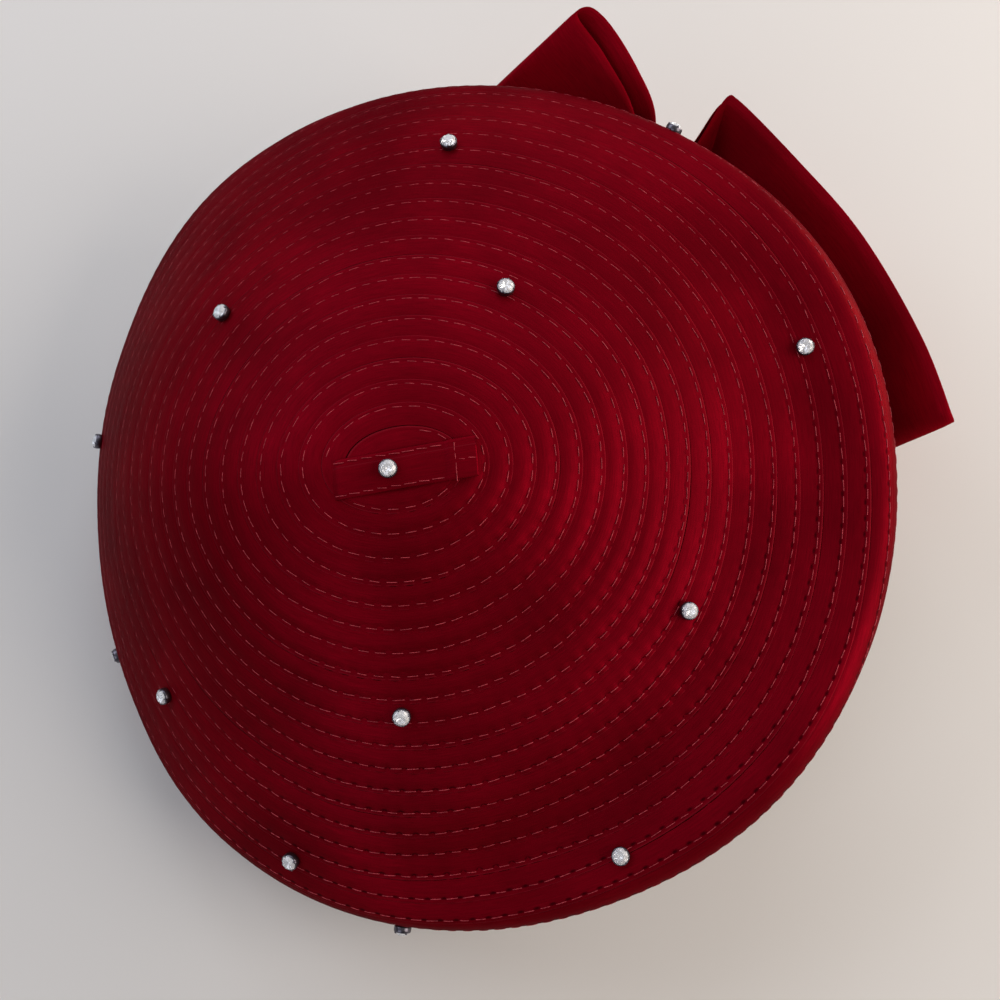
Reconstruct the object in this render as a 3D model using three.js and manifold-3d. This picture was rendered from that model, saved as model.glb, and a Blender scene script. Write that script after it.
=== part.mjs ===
// Satin ribbon saucer hat with scattered rhinestones and a bow under its edge.
// Millimetres, +Z up. The hat lies as it rests by itself: low at the left front, propped up by the bow
// behind.
// Sizes are worked out around the axis of the spiral, and the finished hat is centred over its own
// footprint.
import * as THREE from "three";
import { mergeVertices } from "three/addons/utils/BufferGeometryUtils.js";
import { ConvexGeometry } from "three/addons/geometries/ConvexGeometry.js";
import Module from "manifold-3d";

const wasm = await Module();
wasm.setup();

// Crown: ribbon rows are counted from the centre out, and azimuths from +X towards +Y, in degrees.
const ROW_PITCH = 8.3;
const LAP_STEP = 0.6;
const CROWN_WALL = 2.4;
const CROWN_HEIGHT = 130.3;
const CENTRE_ROWS = 2.62;
const CENTRE_HALF_LINE = 7.4;
const CENTRE_LINE_TURN = 6;
const CENTRE_SLOPE_RIGHT = -1;
const CENTRE_SLOPE_BACK = -12;
const LAST_SPIRAL_ROW = 21;
const HEM_ROW = 21.3;
const EDGE_RADIUS = 9;
const LIP_SLOPE = 96;
const SEGMENTS_PER_TURN = 48;
const ROWS_PER_STEP = 0.04;
const CENTRE_RING_ROW = -1.3;
const INNER_RING_ROWS = [20, 19, 18.2, 17.4, 16.6, 14, 11, 8, 5, 2, -0.5];

// Downward slope of the crown, in degrees, at these rows, and the row where its edge starts to roll down.
const SLOPE_ROWS = [2, 5, 8, 10.5, 13, 15, 17, 20];
const SECTIONS = [
  { azimuth: 0, slopes: [14, 16, 19, 17, -3, -8, -2, 0], edgeRow: 17.5 },
  { azimuth: 30, slopes: [3, 8, 8, 10, 2, -11, -2, 0], edgeRow: 17.5 },
  { azimuth: 60, slopes: [0, 4, 1, 2, 3, 6, 8, 10], edgeRow: 17.2 },
  { azimuth: 90, slopes: [1, 1, 4, 6, 9, 16, 21, 26], edgeRow: 17.3 },
  { azimuth: 120, slopes: [7, 10, 17, 21, 25, 27, 29, 32], edgeRow: 18.1 },
  { azimuth: 150, slopes: [17, 21, 28, 36, 43, 48, 51, 53], edgeRow: 18.3 },
  { azimuth: 180, slopes: [22, 30, 40, 47, 54, 58, 61, 64], edgeRow: 18.1 },
  { azimuth: 210, slopes: [27, 36, 46, 48, 52, 54, 57, 60], edgeRow: 17.8 },
  { azimuth: 240, slopes: [30, 32, 39, 43, 39, 44, 46, 47], edgeRow: 17.4 },
  { azimuth: 270, slopes: [29, 26, 28, 28, 31, 31, 34, 32], edgeRow: 17.1 },
  { azimuth: 300, slopes: [30, 23, 17, 24, 30, 17, -4, -2], edgeRow: 16.8 },
  { azimuth: 330, slopes: [24, 18, 20, 16, 2, -6, -4, 0], edgeRow: 16.9 },
];

// Folded ribbon end over the centre, along the centre line, a little to the front of it.
const SEAT_GAP = 0.35;
const STRIP = { from: -23.5, to: 26.5, front: -8, back: 3.9, thickness: 0.9, across: 4, along: 14 };

// Bow: each loop is one band, out from the knot through top and low edges, round its end and back to the
// knot.
const BOW_THICKNESS = 1.5;
const BOW_STEPS = 42;
const BOW_STEPS_ACROSS = 5;
const FLOOR_REACH = 2;
const RIGHT_LOOP = [
  { top: [99, 146, 83], low: [98, 139, 50], backTop: [98, 148.2, 82], backLow: [97, 141.2, 49] },
  { top: [112, 158, 97], low: [104, 135, 20], backTop: [111, 160, 94], backLow: [101, 140.5, 19] },
  { top: [123.5, 171, 112], low: [110, 131, 7], backTop: [122.5, 172, 106.5], backLow: [108, 143, 0] },
  { top: [126, 169.5, 112], low: [111.5, 129, 7], backTop: [127.5, 169, 106.5], backLow: [122, 135, 0] },
  { top: [150, 141.5, 110], low: [119, 107, 6], backTop: [150.5, 141.5, 104], backLow: [129.5, 114.5, 0] },
  { top: [174, 112.5, 105], low: [130, 83, 6], backTop: [174.5, 112.5, 99], backLow: [141, 90, 0] },
  { top: [197.3, 68.8, 98], low: [138, 58, 6], backTop: [196.8, 69.3, 92], backLow: [149, 63, 0] },
  { top: [207, 42, 92.5], low: [143, 37, 7], backTop: [207, 43, 87.5], backLow: [150, 40, 0] },
];
const RIGHT_END = { top: [209.5, 39.2, 89], low: [148, 32, 3] };
const LEFT_LOOP = [
  { top: [88, 147.5, 80], low: [83, 143.5, 50], backTop: [92, 149.5, 79], backLow: [88, 147.5, 50] },
  { top: [86, 169, 101], low: [50, 157, 46], backTop: [95, 169, 100], backLow: [64, 165, 44] },
  { top: [72, 187, 115], low: [16, 169, 46], backTop: [86, 183, 112], backLow: [32, 179, 42] },
  { top: [60, 199, 124.5], low: [-3, 181, 52], backTop: [71, 198, 123.5], backLow: [8, 187, 48] },
];
const LEFT_END = { top: [64.5, 200.5, 126], low: [-2, 186.5, 52] };
const KNOT = { azimuth: 58, halfLength: 12, halfDepth: 9.5, bottom: 37, sides: 20 };
const KNOT_ROUNDING = { crest: 2.5, shoulder: 0.72, waist: 0.93, underHem: 1 };

// Rhinestones: a cut stone in a round cup with four claws, by azimuth and row on the crown.
const FACETS = 8;
const TABLE = { radius: 1.55, top: 3.3 };
const STAR = { radius: 2.3, top: 2.8 };
const GIRDLE = { radius: 2.85, top: 2.1 };
const CUP = { radius: 3.2, footRadius: 2.7, chamfer: 0.5, height: 1.9, sides: 12 };
const CLAW = { radius: 0.4, top: 2.5, ring: 2.85, count: 4, sides: 4 };
const STONES = [
  { azimuth: 255.5, row: -2.37, over: STRIP.thickness + SEAT_GAP },
  { azimuth: 85.5, row: 13.0, over: 0 },
  { azimuth: 135.5, row: 8.9, over: 0 },
  { azimuth: 65, row: 6.1, over: 0 },
  { azimuth: 21.5, row: 15.3, over: 0 },
  { azimuth: 336.5, row: 10.5, over: 0 },
  { azimuth: 272.5, row: 7.9, over: 0 },
  { azimuth: 218.5, row: 14.1, over: 0 },
  { azimuth: 254.5, row: 16.0, over: 0 },
  { azimuth: 302, row: 16.3, over: 0 },
  { azimuth: 57, row: 18.2, over: -0.85 },
  { azimuth: 163, row: 18.3, over: -0.4 },
  { azimuth: 202, row: 18.9, over: 0 },
  { azimuth: 271.5, row: 18.6, over: 0 },
];

const SATIN = new THREE.MeshStandardMaterial({ color: 0x69040f, roughness: 0.42, metalness: 0 });
const BOW_SATIN = new THREE.MeshStandardMaterial({ color: 0x5c0210, roughness: 0.4, metalness: 0 });
const CRYSTAL = new THREE.MeshStandardMaterial({ color: 0xd9dce2, roughness: 0.08, metalness: 0.5 });

const radians = THREE.MathUtils.degToRad;
const degrees = THREE.MathUtils.radToDeg;
const point = (place) => new THREE.Vector3(...place);

// A value that runs smoothly round the sections, from one reading in each.
function roundSections(azimuth, reading) {
  const count = SECTIONS.length;
  const place = ((((azimuth / 360) * count) % count) + count) % count;
  const first = Math.floor(place);
  const part = place - first;
  const at = (step) => reading(SECTIONS[(first + step + count) % count]);
  const [before, low, high, after] = [-1, 0, 1, 2].map(at);
  const curve = 3 * (low - high) + after - before;
  const bend = 2 * before - 5 * low + 4 * high - after;
  return low + 0.5 * part * (high - before + part * (bend + part * curve));
}

// Downward slope of one section at a row: level across the centre, and turning over at the edge.
function sectionSlope(azimuth) {
  const turn = radians(azimuth);
  const centre = CENTRE_SLOPE_RIGHT * Math.cos(turn) + CENTRE_SLOPE_BACK * Math.sin(turn);
  const rows = [-CENTRE_ROWS, ...SLOPE_ROWS];
  const slopeOf = (_, i) => roundSections(azimuth, (section) => section.slopes[i]);
  const slopes = [centre, ...SLOPE_ROWS.map(slopeOf)];
  const edgeRow = roundSections(azimuth, (section) => section.edgeRow);
  return (row) => {
    let i = 0;
    while (i < rows.length - 2 && row > rows[i + 1]) i += 1;
    const part = Math.min((row - rows[i]) / (rows[i + 1] - rows[i]), 1);
    const slope = slopes[i] + part * (slopes[i + 1] - slopes[i]);
    const roll = degrees((Math.max(row - edgeRow, 0) * ROW_PITCH) / EDGE_RADIUS);
    return roll > 0 ? Math.min(slope + roll, Math.max(LIP_SLOPE, slope)) : slope;
  };
}

// One section of the crown as steps of reach and drop from the centre line, kept once worked out.
const sections = new Map();
function sectionSteps(azimuth) {
  if (!sections.has(azimuth)) {
    const slopeAt = sectionSlope(azimuth);
    const steps = [{ reach: 0, drop: 0, slope: radians(slopeAt(-CENTRE_ROWS)) }];
    const length = ROWS_PER_STEP * ROW_PITCH;
    for (let row = -CENTRE_ROWS + ROWS_PER_STEP; row < HEM_ROW + 2 * ROWS_PER_STEP; row += ROWS_PER_STEP) {
      const last = steps.at(-1);
      const middle = radians(slopeAt(row - ROWS_PER_STEP / 2));
      const reach = last.reach + Math.cos(middle) * length;
      const drop = last.drop + Math.sin(middle) * length;
      steps.push({ reach, drop, slope: radians(slopeAt(row)) });
    }
    sections.set(azimuth, steps);
  }
  return sections.get(azimuth);
}

// A point of the crown's outer surface, moved out from it by a lift.
function crownPoint(azimuth, row, lift = 0) {
  const steps = sectionSteps(azimuth);
  const place = (row + CENTRE_ROWS) / ROWS_PER_STEP;
  const i = Math.min(Math.max(Math.floor(place), 0), steps.length - 2);
  const mix = (key) => THREE.MathUtils.lerp(steps[i][key], steps[i + 1][key], place - i);
  const slope = mix("slope");
  const reach = mix("reach") + lift * Math.sin(slope);
  const line = CENTRE_HALF_LINE * Math.cos(radians(azimuth - CENTRE_LINE_TURN));
  const turn = radians(CENTRE_LINE_TURN);
  const fall = Math.tan(radians(CENTRE_SLOPE_RIGHT * Math.cos(turn) + CENTRE_SLOPE_BACK * Math.sin(turn)));
  return new THREE.Vector3(
    line * Math.cos(turn) + reach * Math.cos(radians(azimuth)),
    line * Math.sin(turn) + reach * Math.sin(radians(azimuth)),
    CROWN_HEIGHT - line * fall - mix("drop") + lift * Math.cos(slope),
  );
}

// Outward direction of the crown's surface.
function crownNormal(azimuth, row) {
  const out = crownPoint(azimuth, row + 0.1).sub(crownPoint(azimuth, row - 0.1));
  const round = crownPoint(azimuth + 1, row).sub(crownPoint(azimuth - 1, row));
  return out.cross(round).normalize();
}

// Point of the hem, level across its wall: at the last row, or flat on the surface that the hat lies on.
function hemPoint(azimuth, lift = 0) {
  let row = HEM_ROW;
  while (crownPoint(azimuth, row).z < 0) row -= ROWS_PER_STEP / 8;
  const height = row < HEM_ROW ? 0 : crownPoint(azimuth, row).z;
  return crownPoint(azimuth, row, lift).setZ(height);
}

// Triangle mesh from points and from rings of point numbers that follow each other over the surface.
class Skin {
  points = [];
  faces = [];

  add(place) {
    this.points.push(place.x, place.y, place.z);
    return this.points.length / 3 - 1;
  }

  face(...corners) {
    if (new Set(corners).size === 3) this.faces.push(...corners);
  }

  strip(from, to, count = from.length - 1) {
    for (let i = 0; i < count; i += 1) {
      this.face(from[i], from[i + 1], to[i + 1]);
      this.face(from[i], to[i + 1], to[i]);
    }
  }

  geometry() {
    const geometry = new THREE.BufferGeometry();
    geometry.setAttribute("position", new THREE.Float32BufferAttribute(this.points, 3));
    geometry.setIndex(this.faces);
    return geometry;
  }
}

// Crown: the outer skin is one spiral of lapped rows, and the inner one is smooth.
function crownGeometry() {
  const skin = new Skin();
  const turn = SEGMENTS_PER_TURN;
  const last = turn * LAST_SPIRAL_ROW;
  const azimuthOf = (step) => -(360 / turn) * (step % turn);
  const spiral = Array.from({ length: last + 1 }, (_, step) => step);
  const laps = spiral.map((step) => skin.add(crownPoint(azimuthOf(step), step / turn)));
  const starts = spiral.map((step) => skin.add(crownPoint(azimuthOf(step), step / turn, -LAP_STEP)));
  const ring = (placeAt) => {
    const numbers = spiral.slice(0, turn).map((step) => skin.add(placeAt(azimuthOf(step))));
    return [...numbers, numbers[0]];
  };

  const centre = new Array(turn + 1).fill(skin.add(new THREE.Vector3(0, 0, CROWN_HEIGHT)));
  const centreRing = ring((azimuth) => crownPoint(azimuth, CENTRE_RING_ROW));
  skin.strip(centre, centreRing);
  skin.strip(centreRing, laps, turn);
  skin.face(laps[turn], centreRing[0], starts[0]);
  skin.face(centreRing[0], laps[0], starts[0]);
  skin.strip(laps, starts);
  skin.strip(starts, laps.slice(turn), last - turn);

  const hem = ring((azimuth) => hemPoint(azimuth));
  const hemStart = last - turn;
  skin.strip(starts.slice(hemStart), hem, turn);
  skin.face(starts[hemStart], hem[0], starts[last]);
  skin.face(starts[hemStart], starts[last], laps[last]);

  const hemInside = ring((azimuth) => hemPoint(azimuth, -CROWN_WALL));
  skin.strip(hem, hemInside);
  const insideRings = INNER_RING_ROWS.map((row) => ring((azimuth) => crownPoint(azimuth, row, -CROWN_WALL)));
  [hemInside, ...insideRings.slice(0, -1)].forEach((from, i) => skin.strip(from, insideRings[i]));
  const under = new Array(turn + 1).fill(skin.add(new THREE.Vector3(0, 0, CROWN_HEIGHT - CROWN_WALL)));
  skin.strip(insideRings.at(-1), under);
  return skin.geometry();
}

// Closed sheet of even thickness around a grid of points, with its lower border kept on the floor.
function sheetGeometry(grid, thickness) {
  const skin = new Skin();
  const rows = grid.length - 1;
  const columns = grid[0].length - 1;
  const normalAt = (j, i) => {
    const along = grid[Math.min(j + 1, rows)][i].clone().sub(grid[Math.max(j - 1, 0)][i]);
    const across = grid[j][Math.min(i + 1, columns)].clone().sub(grid[j][Math.max(i - 1, 0)]);
    return across.cross(along).normalize();
  };
  const side = (offset) =>
    grid.map((row, j) =>
      row.map((place, i) => {
        const moved = place.clone().addScaledVector(normalAt(j, i), offset);
        if (i === columns && moved.z < FLOOR_REACH) moved.z = place.z < FLOOR_REACH / 2 ? 0 : moved.z;
        return skin.add(moved);
      }),
    );
  const outer = side(thickness / 2);
  const inner = side(-thickness / 2);
  for (let j = 0; j < rows; j += 1) {
    skin.strip(outer[j], outer[j + 1]);
    skin.strip(inner[j + 1], inner[j]);
  }
  skin.strip(inner[0], outer[0]);
  skin.strip(outer[rows], inner[rows]);
  const border = (layer, i) => layer.map((row) => row[i]);
  skin.strip(border(outer, 0), border(inner, 0));
  skin.strip(border(inner, columns), border(outer, columns));
  return skin.geometry();
}

// Folded ribbon end: a sheet that lies over the centre of the crown.
function stripGeometry() {
  const lift = SEAT_GAP + STRIP.thickness / 2;
  const grid = [];
  for (let j = 0; j <= STRIP.along; j += 1) {
    const along = THREE.MathUtils.lerp(STRIP.from, STRIP.to, j / STRIP.along);
    const row = [];
    for (let i = 0; i <= STRIP.across; i += 1) {
      const across = THREE.MathUtils.lerp(STRIP.front, STRIP.back, i / STRIP.across);
      row.push(crownPointOver(along, across, lift));
    }
    grid.push(row);
  }
  return sheetGeometry(grid, STRIP.thickness);
}

// Point of the crown near its centre, by distances along and across the centre line.
function crownPointOver(along, across, lift) {
  const covers = (reach) => {
    const partAlong = along / (CENTRE_HALF_LINE + reach);
    const partAcross = across / Math.max(reach, 1e-6);
    return partAlong ** 2 + partAcross ** 2 <= 1;
  };
  let low = 0;
  let high = Math.hypot(along, across) + CENTRE_HALF_LINE;
  for (let i = 0; i < 40; i += 1) {
    const middle = (low + high) / 2;
    if (covers(middle)) high = middle;
    else low = middle;
  }
  const turn = Math.atan2(across / Math.max(high, 1e-6), along / (CENTRE_HALF_LINE + high));
  const azimuth = CENTRE_LINE_TURN + degrees(turn);
  const steps = sectionSteps(azimuth);
  const i = steps.findIndex((step) => step.reach >= high);
  return crownPoint(azimuth, -CENTRE_ROWS + i * ROWS_PER_STEP, lift);
}

// Bow loop: a band out through its sections, round the folded end and back.
function loopGeometry(loop, end) {
  const back = [...loop].reverse();
  const tops = [...loop.map((row) => row.top), end.top, ...back.map((row) => row.backTop)];
  const lows = [...loop.map((row) => row.low), end.low, ...back.map((row) => row.backLow)];
  const topEdge = new THREE.CatmullRomCurve3(tops.map(point));
  const lowEdge = new THREE.CatmullRomCurve3(lows.map(point));
  const grid = [];
  for (let j = 0; j <= BOW_STEPS; j += 1) {
    const top = topEdge.getPoint(j / BOW_STEPS);
    const low = lowEdge.getPoint(j / BOW_STEPS);
    const row = [];
    for (let i = 0; i <= BOW_STEPS_ACROSS; i += 1) row.push(top.clone().lerp(low, i / BOW_STEPS_ACROSS));
    grid.push(row);
  }
  return sheetGeometry(grid, BOW_THICKNESS);
}

// Knot: a round-ended wrap under the hem, or the room that it needs, grown by a gap.
function knotGeometry(grow = 0) {
  const seat = hemPoint(KNOT.azimuth, -CROWN_WALL / 2);
  const top = seat.z - SEAT_GAP - KNOT_ROUNDING.underHem + grow;
  const bottom = KNOT.bottom - grow;
  const radius = KNOT.halfLength + grow;
  const shoulder = radius * KNOT_ROUNDING.shoulder;
  const profile = [
    new THREE.Vector2(0, bottom),
    new THREE.Vector2(shoulder, bottom),
    new THREE.Vector2(radius, bottom + KNOT_ROUNDING.crest),
    new THREE.Vector2(radius * KNOT_ROUNDING.waist, (bottom + top) / 2),
    new THREE.Vector2(radius, top - KNOT_ROUNDING.crest),
    new THREE.Vector2(shoulder, top),
    new THREE.Vector2(0, top),
  ];
  const geometry = new THREE.LatheGeometry(profile, KNOT.sides);
  geometry.scale(1, 1, (KNOT.halfDepth + grow) / radius);
  geometry.rotateX(Math.PI / 2);
  geometry.rotateZ(radians(KNOT.azimuth - 90));
  return geometry.translate(seat.x, seat.y, 0);
}

// Closed solid for joining and cutting, with shared points merged.
function solid(geometry) {
  const bare = geometry.clone();
  Object.keys(bare.attributes).forEach((name) => name !== "position" && bare.deleteAttribute(name));
  const merged = mergeVertices(bare, 1e-4);
  const skin = new Skin();
  const numbers = Array.from(merged.index.array);
  for (let i = 0; i < numbers.length; i += 3) skin.face(...numbers.slice(i, i + 3));
  const vertProperties = new Float32Array(merged.attributes.position.array);
  const triVerts = new Uint32Array(skin.faces);
  return new wasm.Manifold(new wasm.Mesh({ numProp: 3, vertProperties, triVerts }));
}

function solidGeometry(manifold) {
  const mesh = manifold.getMesh();
  const geometry = new THREE.BufferGeometry();
  geometry.setAttribute("position", new THREE.BufferAttribute(mesh.vertProperties, 3));
  geometry.setIndex(new THREE.BufferAttribute(mesh.triVerts, 1));
  return geometry;
}

// One rhinestone: table, star and girdle facets, fused to its cup and claws.
function rhinestoneGeometry() {
  const ring = (radius, height, shift) =>
    Array.from({ length: FACETS }, (_, i) => {
      const turn = ((i + shift) / FACETS) * 2 * Math.PI;
      return new THREE.Vector3(radius * Math.cos(turn), radius * Math.sin(turn), height);
    });
  const stone = new ConvexGeometry([
    ...ring(TABLE.radius, TABLE.top, 0),
    ...ring(STAR.radius, STAR.top, 0.5),
    ...ring(GIRDLE.radius, GIRDLE.top, 0),
    ...ring(GIRDLE.radius, CUP.height / 2, 0),
  ]);
  const profile = [
    new THREE.Vector2(0, 0),
    new THREE.Vector2(CUP.footRadius, 0),
    new THREE.Vector2(CUP.radius, CUP.chamfer),
    new THREE.Vector2(CUP.radius, CUP.height),
    new THREE.Vector2(0, CUP.height),
  ];
  const cup = new THREE.LatheGeometry(profile, CUP.sides).rotateX(Math.PI / 2);
  let body = solid(cup).add(solid(stone));
  for (let i = 0; i < CLAW.count; i += 1) {
    const turn = ((i + 0.25) / CLAW.count) * 2 * Math.PI;
    const claw = new THREE.CylinderGeometry(CLAW.radius, CLAW.radius, CLAW.top - CUP.chamfer, CLAW.sides);
    claw.rotateX(Math.PI / 2);
    claw.translate(CLAW.ring * Math.cos(turn), CLAW.ring * Math.sin(turn), (CLAW.top + CUP.chamfer) / 2);
    body = body.add(solid(claw));
  }
  return solidGeometry(body);
}

function piece(name, geometry, material) {
  const mesh = new THREE.Mesh(geometry, material);
  mesh.name = name;
  return mesh;
}

const hat = new THREE.Group();
hat.add(piece("crown", crownGeometry(), SATIN));
hat.add(piece("centre_strip", stripGeometry(), SATIN));

const knotRoom = solid(knotGeometry(SEAT_GAP));
const cutLoop = (loop, end) => solidGeometry(solid(loopGeometry(loop, end)).subtract(knotRoom));
const bow = new THREE.Group();
bow.add(piece("bow_loop_right", cutLoop(RIGHT_LOOP, RIGHT_END), BOW_SATIN));
bow.add(piece("bow_loop_left", cutLoop(LEFT_LOOP, LEFT_END), BOW_SATIN));
bow.add(piece("bow_knot", solidGeometry(solid(knotGeometry())), BOW_SATIN));
hat.add(bow);

const stones = new THREE.Group();
const rhinestone = rhinestoneGeometry();
const up = new THREE.Vector3(0, 0, 1);
STONES.forEach((stone, i) => {
  const normal = crownNormal(stone.azimuth, stone.row);
  const mesh = piece(`rhinestone_${String(i + 1).padStart(2, "0")}`, rhinestone, CRYSTAL);
  mesh.position.copy(crownPoint(stone.azimuth, stone.row)).addScaledVector(normal, SEAT_GAP + stone.over);
  mesh.quaternion.setFromUnitVectors(up, normal);
  stones.add(mesh);
});
hat.add(stones);

// The origin is at the bottom centre of the hat's own box.
const footprint = new THREE.Box3().setFromObject(hat, true);
const middle = footprint.getCenter(new THREE.Vector3());
hat.position.set(-middle.x, -middle.y, -footprint.min.z);

export default hat;
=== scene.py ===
"""Looks of a satin ribbon saucer hat: a spiral of stitched ribbon, a side bow and set rhinestones."""

import logging
import math
from dataclasses import dataclass, field
from enum import Enum, IntEnum

import bpy
import numpy as np
from bpy.types import ID, Material, Mesh, Node, NodeSocket, NodeTree, Object
from mathutils import Matrix, Vector

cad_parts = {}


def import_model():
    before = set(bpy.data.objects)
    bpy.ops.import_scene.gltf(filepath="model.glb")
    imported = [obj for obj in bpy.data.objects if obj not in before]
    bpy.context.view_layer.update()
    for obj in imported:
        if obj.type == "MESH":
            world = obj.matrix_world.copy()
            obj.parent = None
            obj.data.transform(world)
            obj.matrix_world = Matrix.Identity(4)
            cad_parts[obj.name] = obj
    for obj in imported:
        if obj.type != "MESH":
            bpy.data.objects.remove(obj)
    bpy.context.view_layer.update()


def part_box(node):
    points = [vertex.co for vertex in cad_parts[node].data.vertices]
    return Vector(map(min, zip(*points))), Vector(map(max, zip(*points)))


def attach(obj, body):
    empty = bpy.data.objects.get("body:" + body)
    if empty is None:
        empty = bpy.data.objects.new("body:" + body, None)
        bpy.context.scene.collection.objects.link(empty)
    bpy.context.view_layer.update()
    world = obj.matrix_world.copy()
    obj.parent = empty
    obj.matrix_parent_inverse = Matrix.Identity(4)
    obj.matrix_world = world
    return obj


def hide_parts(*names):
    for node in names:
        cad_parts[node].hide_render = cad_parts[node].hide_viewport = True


Pair = tuple[float, float]
Triple = tuple[float, float, float]

LOG = logging.getLogger("saucer_hat")
MILLIMETRE = 0.001
RIBBON_UV = "ribbon"
OFF_THE_RIBBON_MM = -99.0
MIX_BELOW = 6
MIX_ABOVE = 7
MIX_RESULT = 2


class Slot(Enum):
    """The record's finishes."""

    RIBBON = "ribbon_satin"
    BOW = "bow_satin"
    STONE = "rhinestone"


class Side(Enum):
    """Which of the bow's loops a band belongs to."""

    RIGHT = "right"
    LEFT = "left"


class StonePart(IntEnum):
    """Which finish a face of a set stone has, by material slot."""

    GLASS = 0
    FOIL = 1
    CUP = 2


def linear_colour(code: str) -> tuple[float, float, float, float]:
    """Turn an sRGB hex colour into linear red, green, blue and alpha.

    Args:
        code: Six hex digits after a hash.

    Returns:
        Linear components with an alpha of one.
    """
    parts = [int(code[i : i + 2], 16) / 255 for i in (1, 3, 5)]
    linear = [p / 12.92 if p <= 0.04045 else ((p + 0.055) / 1.055) ** 2.4 for p in parts]
    return (*linear, 1.0)


def add_node(tree: NodeTree, kind: str, settings: dict, links: dict | None = None) -> Node:
    """Add one node with its settings and incoming links.

    Args:
        tree: Node tree that takes the node.
        kind: Blender's type name of the node.
        settings: Values by input name or number, or else by the node's own property.
        links: Source sockets by input name or number. A node stands for its first output.

    Returns:
        The new node.
    """
    node = tree.nodes.new(kind)
    inputs = [name for name in settings if isinstance(name, int) or name in node.inputs]
    for name in settings:
        if name not in inputs:
            setattr(node, name, settings[name])
    for name in inputs:
        node.inputs[name].default_value = settings[name]
    for name, source in (links or {}).items():
        socket = source.outputs[0] if isinstance(source, Node) else source
        tree.links.new(socket, node.inputs[name])
    return node


def new_material(name: str) -> tuple[Material, NodeTree]:
    """Make an empty node material and give its tree as well."""
    material = bpy.data.materials.new(name)
    material.use_nodes = True
    material.node_tree.nodes.clear()
    return material, material.node_tree


def finish_surface(material: Material, settings: dict, links: dict) -> Material:
    """Close a material with its surface.

    Args:
        material: Node material.
        settings: Values by the surface's input name.
        links: Sources by the surface's input name.

    Returns:
        The same material.
    """
    tree = material.node_tree
    surface = add_node(tree, "ShaderNodeBsdfPrincipled", settings, links)
    add_node(tree, "ShaderNodeOutputMaterial", {}, {"Surface": surface})
    return material


def uneven(
    tree: NodeTree, grain_mm: float, detail: float, span: Pair, reading: Pair = (0.0, 1.0)
) -> Node:
    """Make a value that changes over a surface with a cloudy pattern of a real size.

    Args:
        tree: Node tree of the material.
        grain_mm: Size of a cloud.
        detail: Number of finer layers.
        span: Lowest and highest value.
        reading: Shares of the pattern that give them.

    Returns:
        Node that gives the value.
    """
    place = add_node(tree, "ShaderNodeTexCoord", {}).outputs["Object"]
    grain = {"Scale": 1 / (grain_mm * MILLIMETRE), "Detail": detail}
    clouds = add_node(tree, "ShaderNodeTexNoise", grain, {"Vector": place})
    ends = {"From Min": reading[0], "From Max": reading[1], "To Min": span[0], "To Max": span[1]}
    return add_node(tree, "ShaderNodeMapRange", ends, {"Value": clouds})


def put_in_scene(name: str, data: ID) -> Object:
    """Make an object of a mesh, a lamp or a camera, and put it in the scene."""
    thing = bpy.data.objects.new(name, data)
    bpy.context.scene.collection.objects.link(thing)
    return thing


def unit(vectors: np.ndarray) -> np.ndarray:
    """Vectors of length one, along the last axis."""
    return vectors / np.maximum(np.linalg.norm(vectors, axis=-1, keepdims=True), 1e-9)


def run_length(points: np.ndarray) -> np.ndarray:
    """Distance along a line of points, at each of them."""
    steps = np.linalg.norm(np.diff(points, axis=0), axis=1)
    return np.concatenate([[0.0], np.cumsum(steps)])


def wander(random: np.random.Generator, places: np.ndarray, spacing: float) -> np.ndarray:
    """Smooth random curve along a line.

    Args:
        random: Seeded generator.
        places: Distances along the line.
        spacing: Distance between independent values.

    Returns:
        Values of about unit size, one for each place.
    """
    steps = (places - places.min()) / spacing
    values = random.normal(0.0, 1.0, int(steps.max()) + 3)
    first = np.floor(steps).astype(int)
    part = 0.5 - 0.5 * np.cos(math.pi * (steps - first))
    return values[first] * (1 - part) + values[first + 1] * part


def ring_normals(rings: np.ndarray) -> np.ndarray:
    """Unit directions out of a closed band.

    Args:
        rings: Stations by ring points by three.

    Returns:
        One direction for each point, averaged over its neighbours.
    """
    around = np.roll(rings, -1, 1) - np.roll(rings, 1, 1)
    cross = np.cross(around, np.gradient(rings, axis=0))
    outward = np.einsum("ijk,ijk->", cross, rings - rings.mean(1, keepdims=True))
    return unit(cross) * math.copysign(1.0, outward)


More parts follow.
